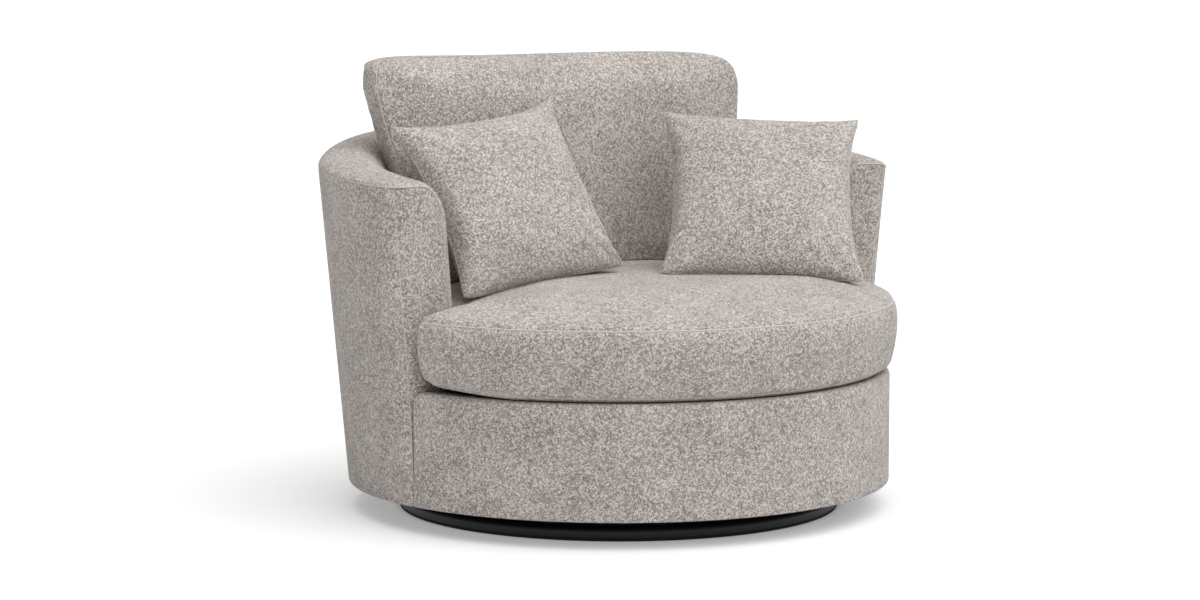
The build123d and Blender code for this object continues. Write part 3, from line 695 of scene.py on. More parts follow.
@dataclass
class Barrel:
    """The round back and arms: outside panel, arm fronts, and one panel over the top and down the inside."""

    # The wall: its lower edge, the radius there, how fast that grows with height, its depth and its padding.
    skirt: float = 51.5
    drum_radius: float = 521.7
    flare: float = 0.0889
    wall: float = 135.0
    padding: float = 6.0
    # The arm fronts: the angle of their faces and the round of their outer corners, above and at the base.
    front_angle: float = 77.2
    base_angle: float = 77.9
    outer_round: float = 45.0
    base_round: float = 12.0
    base_top: float = 250.0
    front_puff: float = 2.5
    # The rolled edge round each arm front, how far it rolls up to its seam, and the seam's depth.
    edge_round: float = 28.0
    seam_turn: float = 72.0
    seam_groove: float = 1.6
    # Crown and outer seam of the top, at the swivel axis, and their rise towards the rear.
    crown_height: float = 661.0
    crown_slope: float = 0.102
    seam_height: float = 645.5
    seam_slope: float = 0.025
    # Where the crown begins, and the fold from the crown down to the inside face, which ends at the deck.
    crown_start: float = 55.0
    inner_fold: float = 66.0
    fold_height: float = 80.0
    deck: float = 252.0
    # Heights at which the radius is read for the outer seam, the crown and the arm fronts.
    rim_level: float = 640.0
    crown_level: float = 650.0
    front_level: float = 600.0
    # The settled corner of the right arm: its fall, and the depths, angles and heights that it covers.
    slump: float = 18.0
    slump_reach: float = 45.0
    slump_angles: tuple[float, float, float, float] = (40.0, 60.0, 95.0, 125.0)
    slump_heights: tuple[float, float] = (520.0, 640.0)

    def radius(self, height: Array) -> Array:
        """Return the outer radius at a height."""
        return self.drum_radius + self.flare * (np.asarray(height, float) - self.skirt)

    def corner(self, height: Array) -> tuple[Array, Array, Array]:
        """Return the arm's rounded outer corner in plan.

        Args:
            height: Heights above the floor.

        Returns:
            The corner's radius, the angle of its centre and the angle that it turns through.
        """
        share = smooth_step(height, self.skirt, self.base_top)
        full = self.base_round + (self.outer_round - self.base_round) * share
        front = self.base_angle + (self.front_angle - self.base_angle) * share
        offset = np.degrees(np.arcsin(full / (self.radius(height) - full)))
        return full, front + offset, 90.0 + offset

    def outer_point(self, column: float, height: Array, inset: Array) -> Array:
        """Find the outside outline at a column.

        Args:
            column: From 0 at the back to 1 where the arm's outer corner begins, and 2 at the corner's end.
            height: Heights above the floor.
            inset: How far the outline is moved inward.

        Returns:
            Points of the right side.
        """
        full, centre, turn = self.corner(height)
        small = np.maximum(full - inset, 0.5)
        middle = direction(centre) * (self.radius(height) - full)[:, None]
        if column <= 1.0:
            plan = direction(180.0 + (centre - 180.0) * column) * (self.radius(height) - inset)[:, None]
        else:
            plan = middle + direction(centre - turn * (column - 1.0)) * small[:, None]
        return np.column_stack([plan, height])

    def seam(self, y: Array) -> Array:
        """Return the height of the top seam."""
        return self.seam_height + self.seam_slope * np.asarray(y, float)

    def slumped(self, points: Array) -> Array:
        """Round the outer top corner of the right arm, whose padding has settled.

        Args:
            points: Points of the barrel.

        Returns:
            The points, lower near that corner.
        """
        reach = np.linalg.norm(points[..., :2], axis=-1)
        angle = np.degrees(np.arctan2(points[..., 0], -points[..., 1]))
        depth = np.clip((self.radius(points[..., 2]) - reach) / self.slump_reach, 0.0, 1.0)
        fall = 1 - np.sqrt(1 - (1 - depth) ** 2)
        rising, falling = self.slump_angles[:2], self.slump_angles[2:]
        near = smooth_step(angle, *rising) * (1 - smooth_step(angle, *falling))
        lowered = points.copy()
        lowered[..., 2] -= self.slump * fall * near * smooth_step(points[..., 2], *self.slump_heights)
        return lowered

    def build_outside(self, shop: Workshop) -> Array:
        """Model the outside panel from the skirt to the top seam.

        Args:
            shop: The workshop that dresses it.

        Returns:
            The path of the right arm's front seam.
        """
        around = np.linspace(0.0, 1.0, 65, endpoint=False)
        bend = [1.0, 1.1, 1.2, 1.3, 1.4, 1.45, 1.48, 1.5]
        tucked = [0.5, self.seam_groove, 3.0, 4.0, 6.0, 7.0]
        spans = np.concatenate([around, bend, [1.54, 1.6, 1.8, 2.0]])
        tucks = np.concatenate([np.zeros(len(spans) - len(tucked)), tucked])
        seam_column = len(around) + len(bend) - 1
        half = []
        for column, tuck in zip(spans, tucks):
            rim = self.outer_point(column, np.array([self.rim_level]), np.array([0.0]))[0]
            top = float(self.seam(rim[1]))
            wall = np.linspace(self.skirt + 3, top - 6, 34)
            heights = np.concatenate([self.skirt + HEM_RISE, wall, [top - 2.6, top - 0.8, top]])
            groove = self.seam_groove * np.array([0.1, 0.4, 1.0])
            insets = np.concatenate([HEM_INSET, np.zeros(len(wall)), groove])
            half.append(self.outer_point(column, heights, insets + tuck))
        right = np.array(half)
        left = right[1:] * MIRROR
        points = np.concatenate([left[::-1], right]).transpose(1, 0, 2)
        piece = draped_grid("outside_panel", self.slumped(points))
        face_away(piece, lambda p: p * np.array([1.0, 1.0, 0.0]))
        thicken(piece, self.padding)
        shop.dress(piece, Body.CHAIR, stands_for=("outside_cover", "outside_wadding"))
        return right[seam_column]

    def section(self, angle: float, start: float, turn: float = 0.0) -> Array:
        """Find the cross-section of the top and inside panel.

        Args:
            angle: Plan angle of the section.
            start: Depth from the outer face at which the panel begins.
            turn: How far the arm's front edge has rolled over at this section, in degrees.

        Returns:
            Depth from the outer face and height, from the outer seam over the top and down the inside.
        """
        rim = -math.cos(math.radians(angle)) * float(self.radius(self.rim_level))
        middle = -math.cos(math.radians(angle)) * (float(self.radius(self.crown_level)) - self.wall / 2)
        low = float(self.seam(rim))
        full = self.crown_height + self.crown_slope * middle
        rolled = 1 - math.cos(math.radians(turn))
        crown = full - (full - low) * rolled / (1 - math.cos(math.radians(self.seam_turn)))
        inner = self.wall - self.edge_round * rolled
        flat_end = self.wall - self.inner_fold
        fold_end = full - self.fold_height
        dome = np.radians(np.linspace(0.0, 90.0, 15))
        rise = (crown - low) * np.sin(dome)
        groove = self.seam_groove * np.exp(-rise / 1.2)
        depth = [start + (self.crown_start - start) * (1 - np.cos(dome)) + groove]
        height = [low + rise]
        flat = np.linspace(self.crown_start, flat_end, 5)[1:]
        depth.append(flat)
        height.append(np.full(len(flat), crown))
        fold = np.radians(np.linspace(0.0, 90.0, 17))[1:]
        depth.append(flat_end + (inner - flat_end) * np.sin(fold))
        height.append(crown - (crown - fold_end) * (1 - np.cos(fold)))
        face = np.linspace(fold_end, self.deck, 20)[1:]
        depth.append(np.full(len(face), inner))
        height.append(face)
        return np.column_stack([np.concatenate(depth), np.concatenate(height)])

    def build_inside(self, shop: Workshop) -> tuple[Piece, Array]:
        """Model the panel over the top and down the inside.

        Args:
            shop: The workshop that dresses it.

        Returns:
            The panel, and the path of the seam round it from the right arm's inside to the left arm's.
        """
        turns = np.linspace(self.seam_turn, 0.0, 12)
        near = self.edge_round * (1 - np.sin(np.radians(turns)))
        beyond = np.linspace(self.edge_round, self.outer_round, 7)[1:]
        reach = float(self.radius(self.rim_level))
        rest = np.linspace(self.front_angle + math.degrees(self.outer_round / reach), 180.0, 60)[1:]
        distances = np.concatenate([near, beyond, np.full(len(rest), self.outer_round)])
        edge = self.front_angle + np.degrees(distances[: -len(rest)] / reach)
        angles = np.concatenate([edge, rest])
        turns = np.concatenate([turns, np.zeros(len(beyond) + len(rest))])
        half = []
        for angle, distance, turn in zip(angles, distances, turns):
            gap = self.outer_round - distance
            start = self.outer_round - math.sqrt(max(self.outer_round**2 - gap**2, 0.0))
            section = self.section(angle, start, turn)
            radii = self.radius(section[:, 1]) - section[:, 0]
            plan = direction(np.full(len(section), angle)) * radii[:, None]
            half.append(np.column_stack([plan, section[:, 1]]))
        right = np.array(half)
        left = right[:-1] * MIRROR
        points = np.concatenate([right, left[::-1]])
        piece = draped_grid("inside_panel", self.slumped(points.transpose(1, 0, 2)))
        face_away(piece, lambda p: np.column_stack([-p[:, 0], -p[:, 1], np.full(len(p), 250.0)]))
        thicken(piece, self.padding)
        shop.dress(piece, Body.CHAIR, stands_for=("inside_cover", "inside_foam", "top_foam"))
        front = right[0][::-1]
        rim = right[1:, 0]
        half_path = np.concatenate([front, rim])
        return piece, np.concatenate([half_path[:-1], (half_path * MIRROR)[::-1]])

    def build_front(self, shop: Workshop, side: Side) -> None:
        """Model one arm front, a flat panel with rolled edges.

        Args:
            shop: The workshop that dresses it.
            side: Which arm it closes.
        """
        rolled = self.section(self.front_angle, self.outer_round, self.seam_turn)
        inner = rolled[:, 0].max()
        level = np.array([self.front_level])
        reach = float(self.radius(level)[0])
        bend = reach - float(np.linalg.norm(self.outer_point(2.0, level, np.zeros(1))[0, :2]))
        spaced = np.sin(np.radians(np.linspace(0.0, 90.0, 34)))
        flats = bend + (inner - bend) * spaced
        peak = int(np.argmax(rolled[:, 0] >= inner - 1e-6))
        top = rolled[: peak + 1]
        shares = np.concatenate([np.linspace(0.0, 0.86, 24), np.linspace(0.88, 1.0, 16)])
        low = self.deck - 4
        fine = even_path(rolled, 1.0)
        fine = fine[fine[:, 1] > low - 40]
        ahead = direction(np.array(self.front_angle - 90.0))
        columns = []
        for turn in (1.5, 1.52, 1.55, 1.6, 1.7, 1.8, 1.9):
            rim = self.outer_point(turn, np.array([self.rim_level]), np.zeros(1))[0]
            heights = low + (float(self.seam(rim[1])) - low) * shares
            near = heights[-1] - heights
            insets = self.seam_groove * (1 - np.sqrt(1 - np.clip(1 - near / 6.0, 0.0, 1.0) ** 2))
            insets = insets + self.seam_groove * max(1 - (turn - 1.5) / 0.05, 0.0) ** 2
            columns.append(self.outer_point(turn, heights, insets))
        for depth in flats:
            height = float(np.interp(depth, top[:, 0], top[:, 1], left=rolled[0, 1]))
            heights = low + (height - low) * shares
            spots = np.column_stack([np.full(len(heights), depth), heights])
            near = np.sqrt(((spots[:, None] - fine[None]) ** 2).sum(-1)).min(-1)
            left_to_roll = np.maximum(self.edge_round * math.cos(math.radians(self.seam_turn)) - near, 0.0)
            sunk = self.edge_round - np.sqrt(self.edge_round**2 - left_to_roll**2)
            sunk += self.seam_groove * 0.6 * np.exp(-near / 1.5)
            puff = self.front_puff * smooth_step(near, 2.0, 24.0) * smooth_step(depth, bend, bend + 30.0)
            radii = self.radius(heights) - depth
            plan = direction(np.full(len(heights), self.front_angle)) * radii[:, None]
            plan = plan + ahead * (puff * smooth_step(heights, 300.0, 420.0) - sunk)[:, None]
            columns.append(np.column_stack([plan, heights]))
        points = np.array(columns).transpose(1, 0, 2) * np.array([side.value, 1.0, 1.0])
        piece = draped_grid(f"{side.name.lower()}_arm_front", self.slumped(points))
        face_away(piece, lambda p: np.tile([0.0, -1.0, 0.0], (len(p), 1)))
        thicken(piece, self.padding)
        shop.dress(piece, Body.CHAIR)

    def build(self, shop: Workshop) -> Piece:
        """Model and dress the whole barrel with its seams.

        Args:
            shop: The workshop that dresses it.

        Returns:
            The panel over the top and down the inside.
        """
        corner = self.build_outside(shop)
        panel, path = self.build_inside(shop)
        for side in Side:
            self.build_front(shop, side)
            upright = even_path(corner[len(HEM_RISE) :] * np.array([side.value, 1.0, 1.0]), 6.0)
            shop.sew(f"{side.name.lower()}_arm_seam", self.slumped(upright), 1.2, Body.CHAIR)
        shop.sew("top_seam", self.slumped(even_path(path, 5.0)), 1.4, Body.CHAIR)
        return panel


@dataclass
class FrontPanel:
    """The plain round panel of the base under the seat cushion."""

    radius: float = Barrel.drum_radius
    half_angle: float = 78.4
    skirt: float = Barrel.skirt
    top: float = 265.5
    roll: float = 12.0
    corner: float = 24.0
    corner_share: float = 0.7
    # How far the upright edges tuck in, over what length, and how far the top runs in under the cushion.
    tuck: float = 3.0
    tuck_reach: float = 4.5
    shelf: float = 44.0
    padding: float = 4.0

    def build(self, shop: Workshop) -> Piece:
        """Model and dress the panel.

        Args:
            shop: The workshop that dresses it.

        Returns:
            The panel.
        """
        reach = math.radians(self.half_angle) * self.radius
        edge = np.array([0.0, 0.4, 1.2, 2.5, 4.5, 7.0, 10.0, 14.0, 19.0, 24.0])
        middle = np.linspace(edge[-1] - reach, reach - edge[-1], 90)[1:-1]
        stations = np.concatenate([edge - reach, middle, (reach - edge)[::-1]])
        columns = []
        for station in stations:
            near = reach - abs(station)
            drop = self.corner - math.sqrt(max(self.corner**2 - max(self.corner - near, 0.0) ** 2, 0.0))
            turn_in = self.tuck * max(1 - near / self.tuck_reach, 0.0) ** 2
            crest = self.top - drop * self.corner_share
            rolls = np.radians(np.linspace(0.0, 90.0, 9))
            wall = np.linspace(self.skirt + 3, crest - self.roll, 20)
            rolled = crest - self.roll + self.roll * np.sin(rolls[1:])
            heights = np.concatenate([self.skirt + HEM_RISE, wall, rolled, [crest - 0.5]])
            turned = self.roll * (1 - np.cos(rolls[1:]))
            insets = np.concatenate([HEM_INSET, np.zeros(len(wall)), turned, [self.shelf]])
            angle = np.full(len(heights), math.degrees(station / self.radius))
            plan = direction(angle) * (self.radius - insets - turn_in)[:, None]
            columns.append(np.column_stack([plan, heights]))
        piece = draped_grid("front_panel", np.array(columns).transpose(1, 0, 2))
        face_away(piece, lambda p: np.column_stack([p[:, 0], p[:, 1], np.full(len(p), 100.0)]))
        thicken(piece, self.padding)
        return shop.dress(piece, Body.CHAIR, stands_for=("front_cover", "front_wadding"))


@dataclass
class SeatDeck:
    """The padded black cloth that the seat cushion lies on."""

    edge_gap: float = 0.5
    spokes: int = 144

    def build(self, shop: Workshop) -> Piece:
        """Model and dress the deck as a thin pad the size of its frame nodes.

        Args:
            shop: The workshop that dresses it.

        Returns:
            The deck.
        """
        low, high = (np.array(corner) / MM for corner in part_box("deck_cloth"))
        centre = (low[:2] + high[:2]) / 2
        half = (high[:2] - low[:2]) / 2 - self.edge_gap
        plan = direction(np.linspace(0.0, 360.0, self.spokes + 1))
        bottom = np.array(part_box("seat_pad")[0])[2] / MM
        crest = high[2]
        profile = [
            (0.0, bottom),
            (0.5, bottom),
            (0.985, bottom),
            (1.0, bottom + 3),
            (1.0, crest - 4),
            (0.985, crest - 0.6),
            (0.8, crest - 0.2),
            (0.4, crest - 0.1),
            (0.0, crest - 0.1),
        ]
        rows = []
        for share, height in profile:
            spot = centre + plan * half * share
            rows.append(np.column_stack([spot, np.full(len(spot), height)]))
        piece = draped_grid("seat_deck", np.array(rows))
        return shop.dress(piece, Body.CHAIR, "deck_fabric", ("seat_pad", "deck_cloth"))


@dataclass
class DustCover:
    """The black cloth stapled under the base board, round the bearing."""

    hem: float = 9.0
    gap: float = 0.2
    sag: float = 0.6
    thread: float = 0.5

    def build(self, shop: Workshop) -> Piece:
        """Model and dress the cloth as one stretched ring.

        Args:
            shop: The workshop that dresses it.

        Returns:
            The cloth.
        """
        high = np.array(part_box("dust_cover")[1]) / MM
        outer = high[0]
        inner = self.opening()
        plan = direction(np.linspace(0.0, 360.0, 145))
        rows = []
        for radius in np.concatenate([np.linspace(inner, outer - self.hem, 16), [outer - 2.0, outer - 0.3]]):
            share = (radius - inner) / (outer - inner)
            height = high[2] - self.gap - self.sag * math.sin(math.pi * share) ** 2
            rows.append(np.column_stack([plan * radius, np.full(len(plan), height)]))
        piece = draped_grid("dust_cover_cloth", np.array(rows))
        face_away(piece, lambda p: np.tile([0.0, 0.0, -1.0], (len(p), 1)))
        thicken(piece, self.thread)
        shop.dress(piece, Body.CHAIR, "deck_fabric", ("dust_cover",))
        return piece

    @staticmethod
    def opening() -> float:
        """Return the radius of the hole that the cloth has round the bearing."""
        node = frame["nodes"]["dust_cover"]
        return float(np.linalg.norm(read_points(node)[:, :2], axis=1).min() / MM)


@dataclass
class SeatCushion:
    """The deep box cushion with a crowned top and two sewn edges."""

    # The plan: front and rear radii, the angle of the straight ends, and the rounds at their two corners.
    front_radius: float = 535.0
    rear_radius: float = 402.0
    wing_angle: float = 76.5
    corner: float = 34.0
    notch: float = 30.0
    # Heights of the underside, of the end of the rolled lower edge, of the upper seam and of the crown.
    low: float = 265.9
    roll_top: float = 288.0
    top_seam: float = 399.0
    top: float = 442.0
    # How far the outline is drawn in at the rolled lower edge, under it, and where the crown goes level.
    seam_draw: float = 9.0
    under_draw: float = 34.0
    crown_reach: float = 190.0
    under_inset: float = 70.0
    cord_radius: float = 1.6
    crease_depth: float = 3.5
    crease_width: float = 6.0
    end_lift: float = 16.0
    left_push: float = 10.0
    # Ranges of X over which the ends lift and the left end moves out, and of Z and Y over which that fades.
    lift_ramp: tuple[float, float] = (395.0, 520.0)
    lift_fade: tuple[float, float] = (275.0, 345.0)
    push_ramp: tuple[float, float] = (330.0, 500.0)
    push_fade: tuple[float, float] = (-150.0, -60.0)
    push_forward: float = 0.23
    middle: tuple[float, float] = (0.0, -40.0)
    wing_reach: float = 480.0
    top_draw: float = 5.5
    side_swell: float = 2.0
    roll_start: float = 5.0
    # The lower seam lies on the rolled lower edge, this far up and this share of the way in.
    low_rise: float = 5.0
    low_share: float = 0.36
    # The cloth run leaves in place a band at the underside, and one at each seam away from the middle.
    foot_band: float = 4.0
    rim_band: float = 4.5
    rim_reach: float = 240.0
    filling: Inflation = field(
        default_factory=lambda: Inflation(frames=16, reach_mm=9.0, voxel_mm=8.0, smoothing=2)
    )

    def outline(self, inset: float) -> Array:
        """Return the cushion's plan outline, moved inward.

        Args:
            inset: How far the outline is moved inward.

        Returns:
            A closed path that starts and ends at the middle of the front.
        """
        radius = self.front_radius - inset
        rear = self.rear_radius - inset
        corner = max(self.corner - inset, 3.0)
        notch = self.notch + inset
        wing = self.wing_angle - math.degrees(inset / self.wing_reach)
        tip = wing - math.degrees(math.asin(corner / (radius - corner)))
        hub = direction(np.array(tip)) * (radius - corner)
        front = arc(np.zeros(2), radius, 0.0, tip, 60)
        turn = arc(hub, corner, tip, wing + 90.0, 14)[1:]
        shoulder = math.sqrt((rear + notch) ** 2 - notch**2)
        leave = direction(np.array(wing)) * shoulder
        inner_hub = leave + direction(np.array(wing + 90.0)) * notch
        reach = wing + math.degrees(math.atan2(notch, shoulder))
        bend = arc(inner_hub, notch, wing - 90.0, reach - 180.0, 10)
        side = np.linspace(turn[-1], leave, 12)[1:-1]
        back = arc(np.zeros(2), rear, reach, 180.0, 70)[1:]
        half = np.concatenate([front, turn, side, bend, back])
        mirrored = (half * MIRROR[:2])[::-1]
        return np.concatenate([half, mirrored[1:]])

    def ring(self, height: float, inset: float, share: float = 1.0) -> Array:
        """Return one level ring of the cushion.

        Args:
            height: Height of the ring.
            inset: How far the outline is moved inward.
            share: Scale of the ring towards the cushion's middle.

        Returns:
            Points of the ring.
        """
        plan = self.outline(inset)
        middle = np.array(self.middle)
        plan = middle + (plan - middle) * share
        return np.column_stack([plan, np.full(len(plan), height)])

    def eased(self, points: Array) -> Array:
        """Lift the underside at the cushion's two ends and push the left end out a little.

        Args:
            points: Points of the cushion.

        Returns:
            The moved points.
        """
        moved = points.copy()
        across, height = points[..., 0], points[..., 2]
        end = smooth_step(np.abs(across), *self.lift_ramp)
        moved[..., 2] += self.end_lift * end * (1 - smooth_step(height, *self.lift_fade))
        pushed = smooth_step(-across, *self.push_ramp) * (1 - smooth_step(points[..., 1], *self.push_fade))
        moved[..., 0] -= self.left_push * pushed
        moved[..., 1] -= self.left_push * self.push_forward * pushed
        return moved

    def build(self, shop: Workshop) -> Piece:
        """Model, inflate and dress the cushion with its seams.

        Args:
            shop: The workshop that dresses it.

        Returns:
            The cushion.
        """
        rows = [self.ring(self.low, self.under_inset, s) for s in (0.02, 0.2, 0.4, 0.6, 0.8, 0.92)]
        rows += [self.ring(self.low, i) for i in (self.under_inset, 54.0, 44.0)]
        for turn in np.radians(np.linspace(8.0, 82.0, 7)):
            height = self.low + (self.roll_top - self.low) * (1 - math.cos(turn))
            rows.append(self.ring(height, self.seam_draw + self.under_draw * (1 - math.sin(turn))))
        rows.append(self.ring(self.roll_top, self.seam_draw))
        for share in np.linspace(0.06, 0.94, 13):
            drawn = self.seam_draw * (1 - share) ** 2.2 + self.top_draw * share**6
            inset = drawn - self.side_swell * math.sin(math.pi * share)
            rows.append(self.ring(self.roll_top + (self.top_seam - self.roll_top) * share, inset))
        rows.append(self.ring(self.top_seam, self.top_draw))
        for share in (0.015, 0.04, 0.08, 0.13, 0.2, 0.3, 0.42, 0.56, 0.7, 0.85, 1.0):
            rise = (1 - (1 - share) ** 2.4) ** 0.75
            inset = self.roll_start + (self.crown_reach - self.roll_start) * share
            rows.append(self.ring(self.top_seam + (self.top - self.top_seam) * rise, inset))
        rows += [self.ring(self.top, self.crown_reach, s) for s in (0.9, 0.75, 0.55, 0.3, 0.1, 0.02)]
        piece = draped_grid("seat_cushion_soft", self.eased(np.array(rows)))
        low_ring = self.ring(self.low + self.low_rise, self.seam_draw + self.low_share * self.under_draw)
        low_path = even_path(self.eased(low_ring), 5.0)
        top_path = even_path(self.eased(self.ring(self.top_seam, self.top_draw)), 5.0)
        close_up(piece)
        self.filling.run(piece, self.held(low_path[0, 2], top_path[0, 2]))
        for name, path in (("seat_low_seam", low_path), ("seat_top_seam", top_path)):
            crease(piece, path, self.crease_depth, self.crease_width)
            shop.sew(name, settle(path[:-1], piece, 0.2), self.cord_radius, Body.SEAT, True)
        return shop.dress(piece, Body.SEAT, stands_for=("seat_cushion_cover", "seat_cushion_foam"))

    def held(self, *levels: float) -> Callable[[Array], Array]:
        """Pin the seams and the underside while the cushion fills.

        Args:
            *levels: The heights of the seams.

        Returns:
            A function that gives pin weights for points.
        """

        def weights(points: Array) -> Array:
            """Weigh each point.

            Args:
                points: Points in mm.

            Returns:
                One at the underside and at the seams, and zero elsewhere.
            """
            pinned = points[:, 2] < self.low + self.foot_band
            far = np.linalg.norm(points[:, :2] - np.array(self.middle), axis=1) > self.rim_reach
            for level in levels:
                pinned |= far & (np.abs(points[:, 2] - level) < self.rim_band)
            return pinned.astype(float)

        return weights


@dataclass
class BackCushion:
    """The tall back cushion: a soft front panel, a gusset round its edge and a curved rear."""

    # Heights, half widths and front faces of the foot and the top.
    low: float = 428.0
    top: float = 852.0
    low_width: float = 345.0
    top_width: float = 412.0
    low_front: float = 136.0
    top_front: float = 212.0
    bulge: float = 10.0
    edge_round: float = 32.0
    corner: float = 16.0
    clear: float = 9.0
    # How the sides swell, and how the top falls to the right and the rear and rises on the left.
    right_swell: float = 24.0
    left_swell: float = 10.0
    right_droop: float = 3.0
    rear_fall: float = 0.07
    left_rise: float = 5.0
    foot_round: float = 16.0
    sweep: float = 9.1
    wall_top: float = 660.0
    least_side: float = 50.0
    side_ramp: tuple[float, float] = (120.0, 380.0)
    # The side seams run up the bend between the front and the sides, at its fifth point.
    seam_column: int = 30
    cord_radius: float = 1.4
    crease_depth: float = 3.0
    crease_width: float = 6.0
    pinned_near: float = 5.0
    foot_band: float = 2.0
    barrel: Barrel = field(default_factory=Barrel)
    filling: Inflation = field(
        default_factory=lambda: Inflation(frames=16, reach_mm=10.0, voxel_mm=7.0, smoothing=2)
    )

    def ring(self, share: float, inset: float) -> Array:
        """Return one level ring of the cushion.

        Args:
            share: Height share from 0 at the bottom to 1 at the top.
            inset: How far the outline is moved inward.

        Returns:
            Points of the ring, starting at the middle of the front.
        """
        level = self.low + (self.top - self.low) * share
        width = self.low_width + (self.top_width - self.low_width) * share - inset
        front = self.low_front + (self.top_front - self.low_front) * share + inset
        belly = self.bulge * math.sin(math.pi * min(max(share, 0.0), 1.0)) ** 0.7
        wall = float(self.barrel.radius(min(level, self.wall_top))) - self.barrel.wall
        rear = wall - self.clear - inset
        across = np.linspace(0.0, width - self.corner, 26)
        face = front - belly * (1 - (across / width) ** 2) + self.sweep * (across / width) ** 2
        hub = np.array([width - self.corner, face[-1] + self.corner])
        bend = arc(hub, self.corner, 8.0, 90.0, 8)
        rear_angle = 180.0 - math.degrees(math.asin(min(width / rear, 0.999)))
        rear_spot = direction(np.array(rear_angle)) * rear
        if rear_spot[1] < bend[-1][1] + self.least_side:
            rear_spot = np.array([width, bend[-1][1] + self.least_side])
        side = np.linspace(bend[-1], rear_spot, 12)[1:]
        back_angle = math.degrees(math.atan2(rear_spot[0], -rear_spot[1]))
        reach = np.linalg.norm(rear_spot)
        angles = np.linspace(back_angle, 180.0, 40)[1:]
        radii = rear + (reach - rear) * np.linspace(1.0, 0.0, 40)[1:] ** 3
        rear_arc = direction(angles) * radii[:, None]
        half = np.concatenate([np.column_stack([across, face]), bend, side, rear_arc])
        mirrored = (half * MIRROR[:2])[::-1]
        plan = np.concatenate([half, mirrored[1:]])
        return np.column_stack([plan, np.full(len(plan), level)])

    def scaled(self, ring: Array, share: float, rise: float = 0.0) -> Array:
        """Shrink a ring towards its middle and lift it.

        Args:
            ring: Points of the ring.
            share: Scale of the ring.
            rise: How far it is lifted.

        Returns:
            The smaller ring.
        """
        middle = np.array([0.0, (ring[:, 1].min() + ring[:, 1].max()) / 2, ring[0, 2]])
        return middle + (ring - middle) * np.array([share, share, 1.0]) + np.array([0.0, 0.0, rise])

    def build(self, shop: Workshop, rests_on: Sequence[Piece]) -> Piece:
        """Model, inflate and dress the cushion with its side seams.

        Args:
            shop: The workshop that dresses it.
            rests_on: Pieces that it must not enter.

        Returns:
            The cushion.
        """
        rings = self.shaped(self.stacked())
        piece = draped_grid("back_cushion_soft", rings)
        columns = (self.seam_column, -1 - self.seam_column)
        right_path, left_path = (even_path(rings[4:-4, column], 5.0) for column in columns)
        both = np.concatenate([right_path, left_path])

        def held(points: Array) -> Array:
            """Weigh each point.

            Args:
                points: Points in mm.

            Returns:
                One at the underside and at the seams, and zero elsewhere.
            """
            apart = np.sqrt(((points[:, None, :] - both[None]) ** 2).sum(-1)).min(-1)
            at_foot = points[:, 2] < self.low + self.foot_band
            return np.where((apart < self.pinned_near) | at_foot, 1.0, 0.0)

        close_up(piece)
        self.filling.run(piece, held)
        keep_clear(piece, rests_on, REST_GAP_MM)
        # Smoothed again, because pressing it clear leaves an edge.
        apply_modifier(piece, "SMOOTH", iterations=6)
        for name, path in (("back_left_seam", left_path), ("back_right_seam", right_path)):
            crease(piece, path, self.crease_depth, self.crease_width)
            shop.sew(name, settle(path, piece, 0.3), self.cord_radius, Body.BACK)
        return shop.dress(piece, Body.BACK, stands_for=("back_cushion_cover", "back_cushion_fill"))

    def stacked(self) -> Array:
        """Stack the cushion's rings from its underside to its top.

        Returns:
            Array of rings, points and XYZ.
        """
        span = self.top - self.low
        foot = self.foot_round
        turns = np.radians(np.linspace(0.0, 90.0, 10))[1:]
        rows = [self.scaled(self.ring(0.0, foot), s) for s in (0.03, 0.3, 0.6, 0.85)]
        for turn in turns:
            rows.append(self.ring((1 - math.cos(turn)) * foot / span, foot * (1 - math.sin(turn))))
        for share in np.linspace(foot / span, 1 - self.edge_round / span, 30)[1:]:
            rows.append(self.ring(share, 0.0))
        for turn in turns:
            share = 1 - self.edge_round / span * (1 - math.sin(turn))
            rows.append(self.ring(share, self.edge_round * (1 - math.cos(turn))))
        crest = rows[-1]
        rows += [self.scaled(crest, s, r) for s, r in ((0.85, 2.0), (0.6, 3.0), (0.3, 3.5), (0.03, 3.5))]
        return np.array(rows)

    def shaped(self, rings: Array) -> Array:
        """Swell the two sides, let the top fall to the rear and the right and rise on the left.

        Args:
            rings: The even rings.

        Returns:
            The shaped rings.
        """
        moved = rings.copy()
        across, depth, height = moved[..., 0], moved[..., 1], moved[..., 2]
        height[:] = np.minimum(height, self.top - 0.5)
        share = (height - self.low) / (self.top - self.low)
        right = smooth_step(across, *self.side_ramp)
        swollen = smooth_step(share, 0.54, 0.66) * (1 - smooth_step(share, 0.84, 1.02))
        across += self.right_swell * swollen * right
        filled = smooth_step(share, 0.45, 0.8) * (1 - smooth_step(share, 0.84, 1.0))
        across -= self.left_swell * filled * smooth_step(-across, *self.side_ramp)
        height -= self.right_droop * right**1.5 * smooth_step(share, 0.5, 1.0)
        height -= self.rear_fall * np.maximum(depth - self.top_front, 0.0) * smooth_step(share, 0.8, 1.0)
        height += self.left_rise * smooth_step(-across, 120.0, 400.0) * smooth_step(share, 0.6, 1.0)
        return moved


